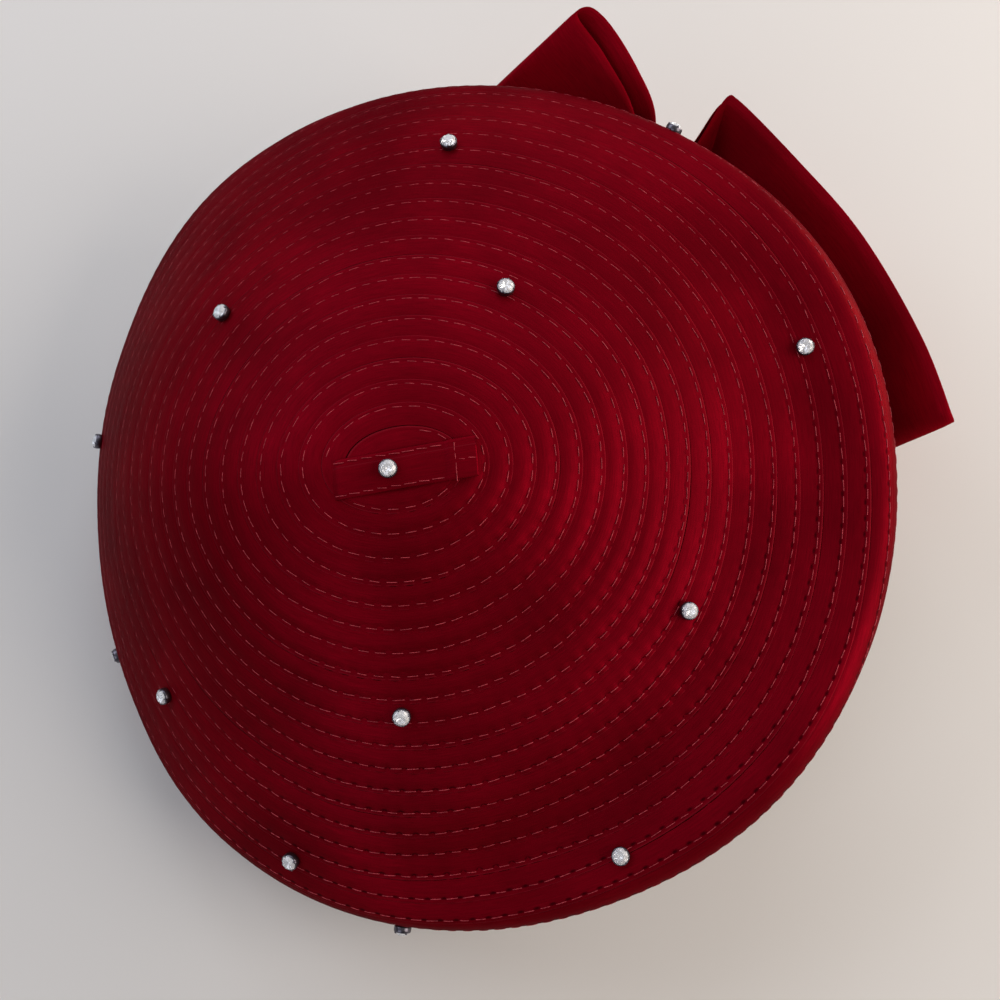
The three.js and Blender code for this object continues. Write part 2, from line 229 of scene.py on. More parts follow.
def band_mesh(name: str, rings: np.ndarray, along: np.ndarray, across: np.ndarray) -> Mesh:
    """Closed band through rings of points, with both ends closed by a strip.

    Args:
        name: Name of the mesh.
        rings: Stations by ring points by three, in millimetres, with an even number of ring points.
        along: Distance along the band at each station, in millimetres.
        across: Distance round the ring at each ring point and back at the first one, in millimetres.

    Returns:
        Mesh in metres, shaded smooth but for its ends, facing out, with a UV map in millimetres.
    """
    stations, round_count = rings.shape[:2]
    station, point = np.meshgrid(np.arange(stations - 1), np.arange(round_count), indexing="ij")
    following = (point + 1) % round_count
    near = station * round_count
    far = near + round_count
    sides = np.stack([near + point, near + following, far + following, far + point], -1)
    corner_steps = ((0, 0), (0, 1), (1, 1), (1, 0))
    side_uv = [np.stack([along[station + on], across[point + over]], -1) for on, over in corner_steps]
    strip = np.arange(round_count // 2 - 1)
    cap = np.stack([round_count - 1 - strip, round_count - 2 - strip, strip + 1, strip], -1)
    far_cap = cap[:, ::-1] + (stations - 1) * round_count
    faces = np.concatenate([sides.reshape(-1, 4), cap, far_cap])
    cap_uv = [
        np.stack([np.full(ends.shape, along[where]), across[ends % round_count]], -1)
        for ends, where in ((cap, 0), (far_cap, -1))
    ]
    corners = np.concatenate([np.stack(side_uv, -2).reshape(-1, 4, 2), *cap_uv])
    points = rings.reshape(-1, 3)
    first, second, third, fourth = (points[faces[:, corner]] for corner in range(4))
    volume = np.einsum("ij,ij->", first, np.cross(second, third) + np.cross(third, fourth))
    if volume < 0:
        faces = faces[:, ::-1]
        corners = corners[:, ::-1]
    smooth = np.arange(len(faces)) < sides.size // 4
    return quad_mesh(name, points, faces, corners, smooth)


def quad_mesh(
    name: str, points: np.ndarray, faces: np.ndarray, corners: np.ndarray, smooth: np.ndarray
) -> Mesh:
    """Mesh of four-sided faces from arrays.

    Args:
        name: Name of the mesh.
        points: Places in millimetres.
        faces: Four point numbers for each face.
        corners: UV in millimetres at each face corner.
        smooth: Which faces are shaded smooth.

    Returns:
        Mesh in metres.
    """
    mesh = bpy.data.meshes.new(name)
    mesh.vertices.add(len(points))
    mesh.vertices.foreach_set("co", (points * MILLIMETRE).astype(np.float32).ravel())
    mesh.loops.add(faces.size)
    mesh.loops.foreach_set("vertex_index", faces.astype(np.int32).ravel())
    mesh.polygons.add(len(faces))
    mesh.polygons.foreach_set("loop_start", np.arange(0, faces.size, 4, dtype=np.int32))
    mesh.polygons.foreach_set("use_smooth", smooth)
    uv = mesh.uv_layers.new(name=RIBBON_UV)
    uv.data.foreach_set("uv", corners.astype(np.float32).ravel())
    mesh.update(calc_edges=True)
    mesh.validate()
    return mesh


def show_piece(mesh: Mesh, slot: Slot, nodes: tuple[str, ...], *finishes: Material) -> Object:
    """Put a finished mesh in the scene as a piece of the hat.

    Args:
        mesh: Mesh in the hat's frame, whose name the piece takes.
        slot: Finish that the piece stands for; not used.
        nodes: Solids that the piece replaces.
        finishes: Materials by slot number.

    Returns:
        The new object.
    """
    piece = put_in_scene(mesh.name, mesh)
    for finish in finishes:
        mesh.materials.append(finish)
    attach(piece, "root")
    if nodes:
        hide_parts(*nodes)
    LOG.info("%s: %d faces", piece.name, len(mesh.polygons))
    return piece


@dataclass(frozen=True)
class SatinFinish:
    """Polyester ribbon satin, warp-faced and calendered: deep red, its gloss drawn out across the warp.

    The floats of dyed yarn mirror light in their own colour, so part of the surface counts as metal.
    """

    name: str
    lit: str
    shade: str
    roughness: float = 0.5
    roughness_swing: float = 0.06
    float_gloss: float = 0.42
    anisotropy: float = 0.2
    gloss_turn: float = 0.25
    specular_level: float = 0.03
    edge_tint: str = "#640c18"
    sheen: float = 0.01
    sheen_roughness: float = 0.4
    streak_length_mm: float = 9.0
    streak_width_mm: float = 0.45
    cloud_mm: float = 38.0
    tone_from: float = 0.1
    tone_to: float = 0.4
    weave_height_mm: float = 0.03
    weave_strength: float = 0.35
    # The selvedge colour is the woven edge's own tone with painted sheen: paler and pinker, as a
    # highlight along the edge.
    selvedge_painted_sheen: str = "#76101b"
    selvedge_from_edge_mm: float = OFF_THE_RIBBON_MM
    selvedge_sheen_half_width_mm: float = 0.24
    # The pinch colour is painted shade: it darkens the stitch hollows, faded in towards the front right.
    painted_pinch_shade: str = "#2a0006"
    painted_pinch_shade_pitch_mm: float = 5.9
    painted_pinch_shade_phase: float = 0.0
    painted_pinch_shade_from_edge_mm: float = OFF_THE_RIBBON_MM
    painted_pinch_shade_half_size_mm: Triple = (1.7, 0.75, 1.0)
    painted_pinch_shade_core: float = 0.3
    painted_pinch_shade_facing: Triple = (0.57, -0.82, 0.0)
    painted_pinch_shade_from_m: float = 0.015
    painted_pinch_shade_full_m: float = 0.09
    painted_pinch_shade_strength: float = 0.8

    def material(self) -> Material:
        """Build the material.

        Returns:
            Satin whose floats run along the ribbon. They are a tenth of a millimetre on the real
            ribbon, and are drawn coarser, so that they show.
        """
        material, tree = new_material(self.name)
        uv = add_node(tree, "ShaderNodeUVMap", {"uv_map": RIBBON_UV})
        place = add_node(tree, "ShaderNodeTexCoord", {}).outputs["Object"]
        streak_scale = (1 / self.streak_length_mm, 1 / self.streak_width_mm, 1.0)
        stretched = add_node(tree, "ShaderNodeMapping", {"Scale": streak_scale}, {"Vector": uv})
        streaks = add_node(
            tree,
            "ShaderNodeTexNoise",
            {"Scale": 1.0, "Detail": 3.0, "Roughness": 0.6},
            {"Vector": stretched},
        )
        clouds = add_node(
            tree,
            "ShaderNodeTexNoise",
            {"Scale": 1 / (self.cloud_mm * MILLIMETRE), "Detail": 2.0, "Roughness": 0.5},
            {"Vector": place},
        )
        depth = add_node(tree, "ShaderNodeMath", {"operation": "MULTIPLY"}, {0: streaks, 1: clouds})
        tone = add_node(
            tree,
            "ShaderNodeMapRange",
            {"From Min": self.tone_from, "From Max": self.tone_to},
            {"Value": depth},
        )
        layers = (
            (self.lit, tone),
            (self.selvedge_painted_sheen, self._selvedge_painted_sheen(tree, uv)),
            (self.painted_pinch_shade, self._painted_pinch_shades(tree, uv, place)),
        )
        colour = None
        for code, share in layers:
            tones = {MIX_BELOW: linear_colour(self.shade), MIX_ABOVE: linear_colour(code)}
            links = {"Factor": share}
            if colour is not None:
                links[MIX_BELOW] = colour
            mixed = add_node(tree, "ShaderNodeMix", {"data_type": "RGBA", **tones}, links)
            colour = mixed.outputs[MIX_RESULT]
        dull = self.roughness + self.roughness_swing
        bright = self.roughness - self.roughness_swing
        gloss = add_node(
            tree, "ShaderNodeMapRange", {"To Min": dull, "To Max": bright}, {"Value": streaks}
        )
        weave = add_node(
            tree,
            "ShaderNodeBump",
            {"Strength": self.weave_strength, "Distance": self.weave_height_mm * MILLIMETRE},
            {"Height": streaks},
        )
        warp = add_node(tree, "ShaderNodeTangent", {"direction_type": "UV_MAP", "uv_map": RIBBON_UV})
        return finish_surface(
            material,
            {
                "Metallic": self.float_gloss,
                "Anisotropic": self.anisotropy,
                "Anisotropic Rotation": self.gloss_turn,
                "Specular IOR Level": self.specular_level,
                "Specular Tint": linear_colour(self.edge_tint),
                "Sheen Weight": self.sheen,
                "Sheen Roughness": self.sheen_roughness,
                "Sheen Tint": linear_colour(self.lit),
            },
            {"Base Color": colour, "Roughness": gloss, "Normal": weave, "Tangent": warp},
        )

    def _selvedge_painted_sheen(self, tree: NodeTree, uv: Node) -> NodeSocket:
        """Find the woven edge of the ribbon, painted paler and pinker to stand in for the sheen along
        it.

        Args:
            tree: Node tree of the material.
            uv: Node that gives the place on the ribbon, in millimetres.

        Returns:
            Share of the edge's colour, with its painted sheen.
        """
        split = add_node(tree, "ShaderNodeSeparateXYZ", {}, {"Vector": uv})
        apart = add_node(
            tree,
            "ShaderNodeMath",
            {"operation": "SUBTRACT", 1: self.selvedge_from_edge_mm},
            {0: split.outputs["Y"]},
        )
        distance = add_node(tree, "ShaderNodeMath", {"operation": "ABSOLUTE"}, {0: apart})
        near = add_node(
            tree,
            "ShaderNodeMapRange",
            {"From Min": self.selvedge_sheen_half_width_mm, "From Max": self.selvedge_sheen_half_width_mm / 3},
            {"Value": distance},
        )
        return near.outputs["Result"]

    def _painted_pinch_shades(self, tree: NodeTree, uv: Node, place: NodeSocket) -> NodeSocket:
        """Paint shade into the small hollows where the thread is pulled down, stronger towards the front
        right.

        Args:
            tree: Node tree of the material.
            uv: Node that gives the place on the ribbon, in millimetres.
            place: Place on the hat, in metres.

        Returns:
            Share of the painted shade.
        """
        split = add_node(tree, "ShaderNodeSeparateXYZ", {}, {"Vector": uv})
        shifted = add_node(
            tree,
            "ShaderNodeMath",
            {"operation": "SUBTRACT", 1: self.painted_pinch_shade_phase * self.painted_pinch_shade_pitch_mm},
            {0: split.outputs["X"]},
        )
        from_hole = add_node(
            tree, "ShaderNodeMath", {"operation": "PINGPONG", 1: self.painted_pinch_shade_pitch_mm / 2}, {0: shifted}
        )
        from_line = add_node(
            tree,
            "ShaderNodeMath",
            {"operation": "SUBTRACT", 1: self.painted_pinch_shade_from_edge_mm},
            {0: split.outputs["Y"]},
        )
        apart = add_node(tree, "ShaderNodeCombineXYZ", {}, {"X": from_hole, "Y": from_line})
        scaled = add_node(
            tree,
            "ShaderNodeVectorMath",
            {"operation": "DIVIDE", 1: self.painted_pinch_shade_half_size_mm},
            {0: apart},
        )
        reach = add_node(tree, "ShaderNodeVectorMath", {"operation": "LENGTH"}, {0: scaled})
        near = add_node(
            tree,
            "ShaderNodeMapRange",
            {"From Min": 1.0, "From Max": self.painted_pinch_shade_core, "To Max": self.painted_pinch_shade_strength},
            {"Value": reach.outputs["Value"]},
        )
        facing = add_node(
            tree, "ShaderNodeVectorMath", {"operation": "DOT_PRODUCT", 1: self.painted_pinch_shade_facing}, {0: place}
        )
        # Painted shade fades in along the facing direction, towards the front right.
        painted_shade_front_mask = add_node(
            tree,
            "ShaderNodeMapRange",
            {"From Min": self.painted_pinch_shade_from_m, "From Max": self.painted_pinch_shade_full_m},
            {"Value": facing.outputs["Value"]},
        )
        painted_pinch_shade_share = add_node(tree, "ShaderNodeMath", {"operation": "MULTIPLY"}, {0: near, 1: painted_shade_front_mask})
        return painted_pinch_shade_share.outputs["Value"]


@dataclass(frozen=True)
class ThreadFinish:
    """Spun polyester sewing thread: a dull twisted strand, paler than the satin."""

    name: str = "spun_polyester_thread"
    lit: str = "#c4464f"
    lit_from: float = 0.65
    shade: str = "#88252e"
    shade_until: float = 0.35
    twist_mm: float = 0.9
    roughness: float = 0.55
    specular_level: float = 0.2

    def material(self) -> Material:
        """Build the material: fine light and dark along each dash, as the plies turn."""
        material, tree = new_material(self.name)
        plies = uneven(tree, self.twist_mm, 2.0, (0.0, 1.0), (self.shade_until, self.lit_from))
        tones = {MIX_BELOW: linear_colour(self.shade), MIX_ABOVE: linear_colour(self.lit)}
        twist = add_node(tree, "ShaderNodeMix", {"data_type": "RGBA", **tones}, {"Factor": plies})
        return finish_surface(
            material,
            {"Roughness": self.roughness, "Specular IOR Level": self.specular_level},
            {"Base Color": twist.outputs[MIX_RESULT]},
        )


@dataclass(frozen=True)
class CrystalFinish:
    """Pressed and polished glass stone: clear, with sharp bright facets."""

    name: str = "polished_glass_stone"
    colour: str = "#ffffff"
    mark_mm: float = 1.1111
    marks: Pair = (0.4, 0.8)
    roughness: Pair = (0.01, 0.06)
    clearness: float = 0.5
    refraction: float = 1.56

    def material(self) -> Material:
        """Build the material: clear glass with a faint haze of handling marks."""
        material, tree = new_material(self.name)
        return finish_surface(
            material,
            {
                "Base Color": linear_colour(self.colour),
                "Transmission Weight": self.clearness,
                "IOR": self.refraction,
            },
            {"Roughness": uneven(tree, self.mark_mm, 2.0, self.roughness, self.marks)},
        )


@dataclass(frozen=True)
class SilverFinish:
    """Plated metal: bright foil behind the stone, or a stamped cup in a darker grey that carries painted
    shade.
    """

    name: str
    colour: str
    roughness: float
    grain_mm: float = 0.6
    roughness_swing: float = 0.4

    def material(self) -> Material:
        """Build the material: metal with a fine cloudy grain from plating."""
        material, tree = new_material(self.name)
        span = (self.roughness * (1 - self.roughness_swing), self.roughness * (1 + self.roughness_swing))
        return finish_surface(
            material,
            {"Base Color": linear_colour(self.colour), "Metallic": 1.0},
            {"Roughness": uneven(tree, self.grain_mm, 3.0, span)},
        )


@dataclass(frozen=True)
class CrownSection:
    """Downward slopes of the crown in degrees out along an azimuth, and the row where it rolls down."""

    slopes: tuple[float, ...]
    edge_row: float


CROWN_SECTIONS = (
    CrownSection((14, 16, 19, 17, -3, -8, -2, 0), 17.5),
    CrownSection((3, 8, 8, 10, 2, -11, -2, 0), 17.5),
    CrownSection((0, 4, 1, 2, 3, 6, 8, 10), 17.2),
    CrownSection((1, 1, 4, 6, 9, 16, 21, 26), 17.3),
    CrownSection((7, 10, 17, 21, 25, 27, 29, 32), 18.1),
    CrownSection((17, 21, 28, 36, 43, 48, 51, 53), 18.3),
    CrownSection((22, 30, 40, 47, 54, 58, 61, 64), 18.1),
    CrownSection((27, 36, 46, 48, 52, 54, 57, 60), 17.8),
    CrownSection((30, 32, 39, 43, 39, 44, 46, 47), 17.4),
    CrownSection((29, 26, 28, 28, 31, 31, 34, 32), 17.1),
    CrownSection((30, 23, 17, 24, 30, 17, -4, -2), 16.8),
    CrownSection((24, 18, 20, 16, 2, -6, -4, 0), 16.9),
)


@dataclass(frozen=True)
class Dip:
    """Soft dip in the cloth, or a rise where its depth is below zero.

    It has a middle, half widths in degrees and rows, and a depth in millimetres.
    """

    azimuth: float
    row: float
    half_turn: float
    half_rows: float
    depth: float


CROWN_DIPS = (
    Dip(286, 14.6, 14, 1.4, 2.3),
    Dip(308, 13.4, 14, 1.4, 2.3),
    Dip(10, 15.0, 20, 1.5, 2.0),
    Dip(321, 17.4, 23, 1.5, -2.4),
)


@dataclass
class CrownForm:
    """Outer surface of the crown by azimuth in degrees and ribbon row, in millimetres from its axis."""

    sections: tuple[CrownSection, ...] = CROWN_SECTIONS
    dips: tuple[Dip, ...] = CROWN_DIPS
    slope_rows: tuple[float, ...] = (2, 5, 8, 10.5, 13, 15, 17, 20)
    row_pitch: float = 8.3
    height: float = 130.3
    centre_rows: float = 2.62
    centre_half_line: float = 7.4
    centre_line_turn: float = 6.0
    centre_slope_right: float = -1.0
    centre_slope_back: float = -12.0
    hem_row: float = 21.3
    edge_radius: float = 9.0
    lip_slope: float = 96.0
    wall: float = 2.4
    azimuth_step: float = 0.5
    row_step: float = 0.04
    rows_past_hem: float = 1.5
    normal_turn: float = 1.0
    normal_rows: float = 0.1
    axis: np.ndarray = field(default_factory=lambda: np.zeros(3))

    def __post_init__(self) -> None:
        """Work out reach, drop and slope over a fine grid of azimuths and rows, and the hem."""
        azimuths = np.arange(0.0, 360.0, self.azimuth_step)
        rows = np.arange(-self.centre_rows, self.hem_row + self.rows_past_hem, self.row_step)
        middles = rows[:-1] + self.row_step / 2
        bends = np.radians(self._slopes(azimuths, middles))
        length = self.row_step * self.row_pitch
        start = np.zeros((len(azimuths), 1))
        reach = np.concatenate([start, np.cumsum(np.cos(bends) * length, 1)], 1)
        drop = np.concatenate([start, np.cumsum(np.sin(bends) * length, 1)], 1)
        self._grid = np.stack([reach, drop, np.radians(self._slopes(azimuths, rows))], -1)
        heights = self.place(azimuths[:, None], rows[None, :])[..., 2]
        above = np.where(heights >= 0, rows[None, :], -np.inf).max(1)
        self._hem = np.minimum(above, self.hem_row)

    def _round(self, azimuths: np.ndarray, readings: np.ndarray) -> np.ndarray:
        """Smooth periodic curve through one reading for each section."""
        count = len(self.sections)
        place = (azimuths / 360 * count) % count
        first = np.floor(place).astype(int)
        part = place - first
        before, low, high, after = (readings[(first + step) % count] for step in (-1, 0, 1, 2))
        curve = 3 * (low - high) + after - before
        bend = 2 * before - 5 * low + 4 * high - after
        return low + 0.5 * part * (high - before + part * (bend + part * curve))

    def _slopes(self, azimuths: np.ndarray, rows: np.ndarray) -> np.ndarray:
        """Downward slope in degrees for every azimuth and row, turning over at the edge."""
        turn = np.radians(azimuths)
        columns = [self.centre_slope_right * np.cos(turn) + self.centre_slope_back * np.sin(turn)]
        table = np.array([section.slopes for section in self.sections], float)
        columns += [self._round(azimuths, table[:, i]) for i in range(table.shape[1])]
        knots = np.array([-self.centre_rows, *self.slope_rows])
        slopes = np.array([np.interp(rows, knots, values) for values in np.stack(columns, 1)])
        edge = self._round(azimuths, np.array([section.edge_row for section in self.sections]))
        past_edge = np.maximum(rows[None, :] - edge[:, None], 0) * self.row_pitch
        roll = np.degrees(past_edge / self.edge_radius)
        return np.where(roll > 0, np.minimum(slopes + roll, np.maximum(self.lip_slope, slopes)), slopes)

    def place(self, azimuth: np.ndarray, row: np.ndarray, lift: np.ndarray | float = 0.0) -> np.ndarray:
        """Points of the surface.

        Args:
            azimuth: Degrees from right towards the back.
            row: Ribbon rows out from the centre ring.
            lift: Distance out from the surface.

        Returns:
            Places with a last axis of three.
        """
        azimuth, row, lift = np.broadcast_arrays(azimuth, row, lift)
        lift = lift - self._dip(azimuth, row)
        count, rows = self._grid.shape[:2]
        column = (azimuth / self.azimuth_step) % count
        line = np.clip((row + self.centre_rows) / self.row_step, 0, rows - 1.001)
        first = np.floor(column).astype(int) % count
        following = (first + 1) % count
        upper = np.floor(line).astype(int)
        across_share = (column - np.floor(column))[..., None]
        down_share = (line - upper)[..., None]
        near, far = (
            self._grid[at, upper] * (1 - down_share) + self._grid[at, upper + 1] * down_share
            for at in (first, following)
        )
        reach, drop, slope = np.moveaxis(near * (1 - across_share) + far * across_share, -1, 0)
        reach = reach + lift * np.sin(slope)
        turn = math.radians(self.centre_line_turn)
        along = self.centre_half_line * np.cos(np.radians(azimuth) - turn)
        lean = self.centre_slope_right * math.cos(turn) + self.centre_slope_back * math.sin(turn)
        x = along * math.cos(turn) + reach * np.cos(np.radians(azimuth))
        y = along * math.sin(turn) + reach * np.sin(np.radians(azimuth))
        z = self.height - along * math.tan(math.radians(lean)) - drop + lift * np.cos(slope)
        return np.stack([x, y, z], -1) + self.axis

    def _dip(self, azimuth: np.ndarray, row: np.ndarray) -> np.ndarray:
        """Depth of the soft dips, none deeper than the wall is thick."""
        depth = np.zeros(azimuth.shape)
        for dip in self.dips:
            turn = (azimuth - dip.azimuth + 180) % 360 - 180
            apart = (turn / dip.half_turn) ** 2 + ((row - dip.row) / dip.half_rows) ** 2
            depth += dip.depth * np.exp(-apart)
        return depth

    def normal(self, azimuth: np.ndarray, row: np.ndarray) -> np.ndarray:
        """Outward unit directions of the surface."""
        azimuth, row = np.broadcast_arrays(np.asarray(azimuth, float), np.asarray(row, float))
        turn, rows = self.normal_turn, self.normal_rows
        out = self.place(azimuth, row + rows) - self.place(azimuth, row - rows)
        side = self.place(azimuth + turn, row) - self.place(azimuth - turn, row)
        return unit(np.cross(out, side))

    def hem(self, azimuth: np.ndarray) -> np.ndarray:
        """Row of the hem, earlier where the hat rests on the floor."""
        count = len(self._hem)
        turn = np.arange(count + 1) * self.azimuth_step
        return np.interp(np.asarray(azimuth, float) % 360, turn, np.append(self._hem, self._hem[0]))

    def over_centre(self, along: np.ndarray, across: np.ndarray, lift: np.ndarray) -> np.ndarray:
        """Points near the centre, by distances along and across the centre line.

        Args:
            along: Distance to the right along the centre line.
            across: Distance to the back of it.
            lift: Distance out from the surface.

        Returns:
            Places with a last axis of three.
        """
        along, across, lift = np.broadcast_arrays(along, across, lift)
        low = np.zeros(along.shape)
        high = np.hypot(along, across) + self.centre_half_line
        for _ in range(40):
            middle = (low + high) / 2
            along_share = along / (self.centre_half_line + middle)
            across_share = across / np.maximum(middle, 1e-6)
            inside = along_share**2 + across_share**2 <= 1
            high = np.where(inside, middle, high)
            low = np.where(inside, low, middle)
        turn = np.arctan2(across / np.maximum(high, 1e-6), along / (self.centre_half_line + high))
        azimuth = self.centre_line_turn + np.degrees(turn)
        row = high / self.row_pitch - self.centre_rows
        return self.place(azimuth, row, lift)


@dataclass(frozen=True)
class RibbonPoint:
    """One point of the ribbon's section: rows across, lift in millimetres and share of the pucker."""

    across: float
    lift: float
    pucker: float


STITCH_ACROSS = 1.0
SELVEDGE_ACROSS = 1.18
RIBBON_SECTION = (
    RibbonPoint(-0.10, -0.78, 0.0),
    RibbonPoint(0.10, -0.46, 0.0),
    RibbonPoint(0.22, -0.30, 0.25),
    RibbonPoint(0.36, -0.20, 0.15),
    RibbonPoint(0.58, -0.12, 0.05),
    RibbonPoint(0.80, -0.07, 0.35),
    RibbonPoint(0.94, -0.08, 0.8),
    RibbonPoint(STITCH_ACROSS, -0.12, 1.0),
    RibbonPoint(1.06, -0.10, 1.0),
    RibbonPoint(1.13, -0.10, 0.7),
    RibbonPoint(SELVEDGE_ACROSS, -0.15, 0.5),
    RibbonPoint(1.195, -0.26, 0.3),
    RibbonPoint(1.08, -0.48, 0.0),
    RibbonPoint(0.60, -0.58, 0.0),
    RibbonPoint(0.20, -0.80, 0.0),
    RibbonPoint(-0.10, -0.98, 0.0),
)


@dataclass
class StitchLines:
    """Dashes of thread: where each one lies, and how it is turned."""

    places: list[np.ndarray] = field(default_factory=list)
    turns: list[np.ndarray] = field(default_factory=list)

    def add(self, places: np.ndarray, runs: np.ndarray, rises: np.ndarray) -> None:
        """Keep a line of dashes.

        Args:
            places: Middle of each dash, in millimetres.
            runs: Direction of the thread at each dash.
            rises: Direction away from the cloth at each dash.
        """
        runs = unit(runs)
        sides = unit(np.cross(rises, runs))
        for place, run, side in zip(places, runs, sides):
            rise = np.cross(run, side)
            turn = Matrix(np.stack([run, side, rise], 1).tolist()).to_quaternion()
            self.places.append(place)
            self.turns.append(np.array(turn))


@dataclass
class SewingThread:
    """Thread dashes laid on the ribbon by a node tree."""

    dash_mm: float = 3.6
    thickness_mm: float = 0.25
    arch_mm: float = 0.12
    length_scatter: float = 0.16
    turn_scatter: float = 0.07
    seed: int = 12

    def tree(self, material: Material) -> NodeTree:
        """Build the node tree that puts one arched dash at each point.

        Args:
            material: Finish of the thread.

        Returns:
            Tree with named inputs for the dash's sizes.
        """
        tree = bpy.data.node_groups.new("thread_dashes", "GeometryNodeTree")
        sockets = tree.interface
        sockets.new_socket(name="Geometry", in_out="INPUT", socket_type="NodeSocketGeometry")
        for name in ("Dash", "Thickness", "Arch", "Length Scatter", "Turn Scatter"):
            sockets.new_socket(name=name, in_out="INPUT", socket_type="NodeSocketFloat")
        sockets.new_socket(name="Seed", in_out="INPUT", socket_type="NodeSocketInt")
        sockets.new_socket(name="Geometry", in_out="OUTPUT", socket_type="NodeSocketGeometry")
        given = tree.nodes.new("NodeGroupInput").outputs
        sizes = (("Dash", 0.5), ("Dash", -0.5), ("Arch", 2.0), ("Thickness", 0.5))
        half, back, rise, radius = (
            add_node(tree, "ShaderNodeMath", {"operation": "MULTIPLY", 1: share}, {0: given[name]})
            for name, share in sizes
        )
        start = add_node(tree, "ShaderNodeCombineXYZ", {}, {"X": back})
        crest = add_node(tree, "ShaderNodeCombineXYZ", {}, {"Z": rise})
        end = add_node(tree, "ShaderNodeCombineXYZ", {}, {"X": half})
        path = add_node(
            tree,
            "GeometryNodeCurveQuadraticBezier",
            {"Resolution": 4},
            {"Start": start, "Middle": crest, "End": end},
        )
        ring = add_node(tree, "GeometryNodeCurvePrimitiveCircle", {"Resolution": 6}, {"Radius": radius})
        dash = add_node(
            tree, "GeometryNodeCurveToMesh", {"Fill Caps": True}, {"Curve": path, "Profile Curve": ring}
        )
        smooth = add_node(tree, "GeometryNodeSetShadeSmooth", {}, {"Geometry": dash})
        spreads = {}
        for name, usual in (("Turn Scatter", 0.0), ("Length Scatter", 1.0)):
            low = add_node(tree, "ShaderNodeMath", {"operation": "SUBTRACT", 0: usual}, {1: given[name]})
            high = add_node(tree, "ShaderNodeMath", {"operation": "ADD", 0: usual}, {1: given[name]})
            draw = add_node(
                tree, "FunctionNodeRandomValue", {"data_type": "FLOAT"}, {"Seed": given["Seed"]}
            )
            ends = [socket for socket in draw.inputs if socket.type == "VALUE" and socket.enabled]
            tree.links.new(low.outputs[0], ends[0])
            tree.links.new(high.outputs[0], ends[1])
            spreads[name] = next(socket for socket in draw.outputs if socket.enabled)
        turn = add_node(
            tree, "GeometryNodeInputNamedAttribute", {"data_type": "QUATERNION", "Name": "turn"}
        )
        lean = add_node(tree, "ShaderNodeCombineXYZ", {}, {"Z": spreads["Turn Scatter"]})
        lean_turn = add_node(tree, "FunctionNodeEulerToRotation", {}, {"Euler": lean})
        turned = add_node(
            tree,
            "FunctionNodeRotateRotation",
            {"rotation_space": "LOCAL"},
            {"Rotation": turn, "Rotate By": lean_turn},
        )
        size = add_node(
            tree, "ShaderNodeCombineXYZ", {"Y": 1.0, "Z": 1.0}, {"X": spreads["Length Scatter"]}
        )
        laid = add_node(
            tree,
            "GeometryNodeInstanceOnPoints",
            {},
            {"Points": given["Geometry"], "Instance": smooth, "Rotation": turned, "Scale": size},
        )
        whole = add_node(tree, "GeometryNodeRealizeInstances", {}, {"Geometry": laid})
        dyed = add_node(tree, "GeometryNodeSetMaterial", {"Material": material}, {"Geometry": whole})
        out = tree.nodes.new("NodeGroupOutput")
        tree.links.new(dyed.outputs["Geometry"], out.inputs["Geometry"])
        return tree

    def mesh(self, name: str, lines: StitchLines, material: Material) -> Mesh:
        """Lay the dashes and turn them into a plain mesh.

        Args:
            name: Name of the mesh.
            lines: Where the dashes lie.
            material: Finish of the thread.

        Returns:
            Mesh in metres.
        """
        points = bpy.data.meshes.new(name + "_points")
        points.vertices.add(len(lines.places))
        places = np.array(lines.places) * MILLIMETRE
        points.vertices.foreach_set("co", places.astype(np.float32).ravel())
        turns = points.attributes.new("turn", "QUATERNION", "POINT")
        turns.data.foreach_set("value", np.array(lines.turns).astype(np.float32).ravel())
        holder = put_in_scene(name + "_points", points)
        modifier = holder.modifiers.new("dashes", "NODES")
        modifier.node_group = self.tree(material)
        values = {
            "Dash": self.dash_mm * MILLIMETRE,
            "Thickness": self.thickness_mm * MILLIMETRE,
            "Arch": self.arch_mm * MILLIMETRE,
            "Length Scatter": self.length_scatter,
            "Turn Scatter": self.turn_scatter,
            "Seed": self.seed,
        }
        for item in modifier.node_group.interface.items_tree:
            if item.in_out == "INPUT" and item.name in values:
                modifier[item.identifier] = values[item.name]
        evaluated = holder.evaluated_get(bpy.context.evaluated_depsgraph_get())
        mesh = bpy.data.meshes.new_from_object(evaluated)
        mesh.name = name
        bpy.data.objects.remove(holder)
        return mesh


def round_the_section(section: np.ndarray) -> np.ndarray:
    """Distance round a closed section at each of its points, and back at the first one."""
    return run_length(np.vstack([section, section[:1]]))


def fade_past(places: np.ndarray, last: float, spread: float) -> np.ndarray:
    """Share that falls from one to nothing about a last place, over a spread."""
    return 1 / (1 + np.exp((places - last) / spread))


STRIP_HALF_TOP_MM = ((0.0, 0.34), (0.35, 0.66), (1.3, 0.48), (2.4, 0.66), (4.7, 0.72))
STRIP_HALF_UNDER_MM = ((0.2, 0.02), (4.7, 0.0))


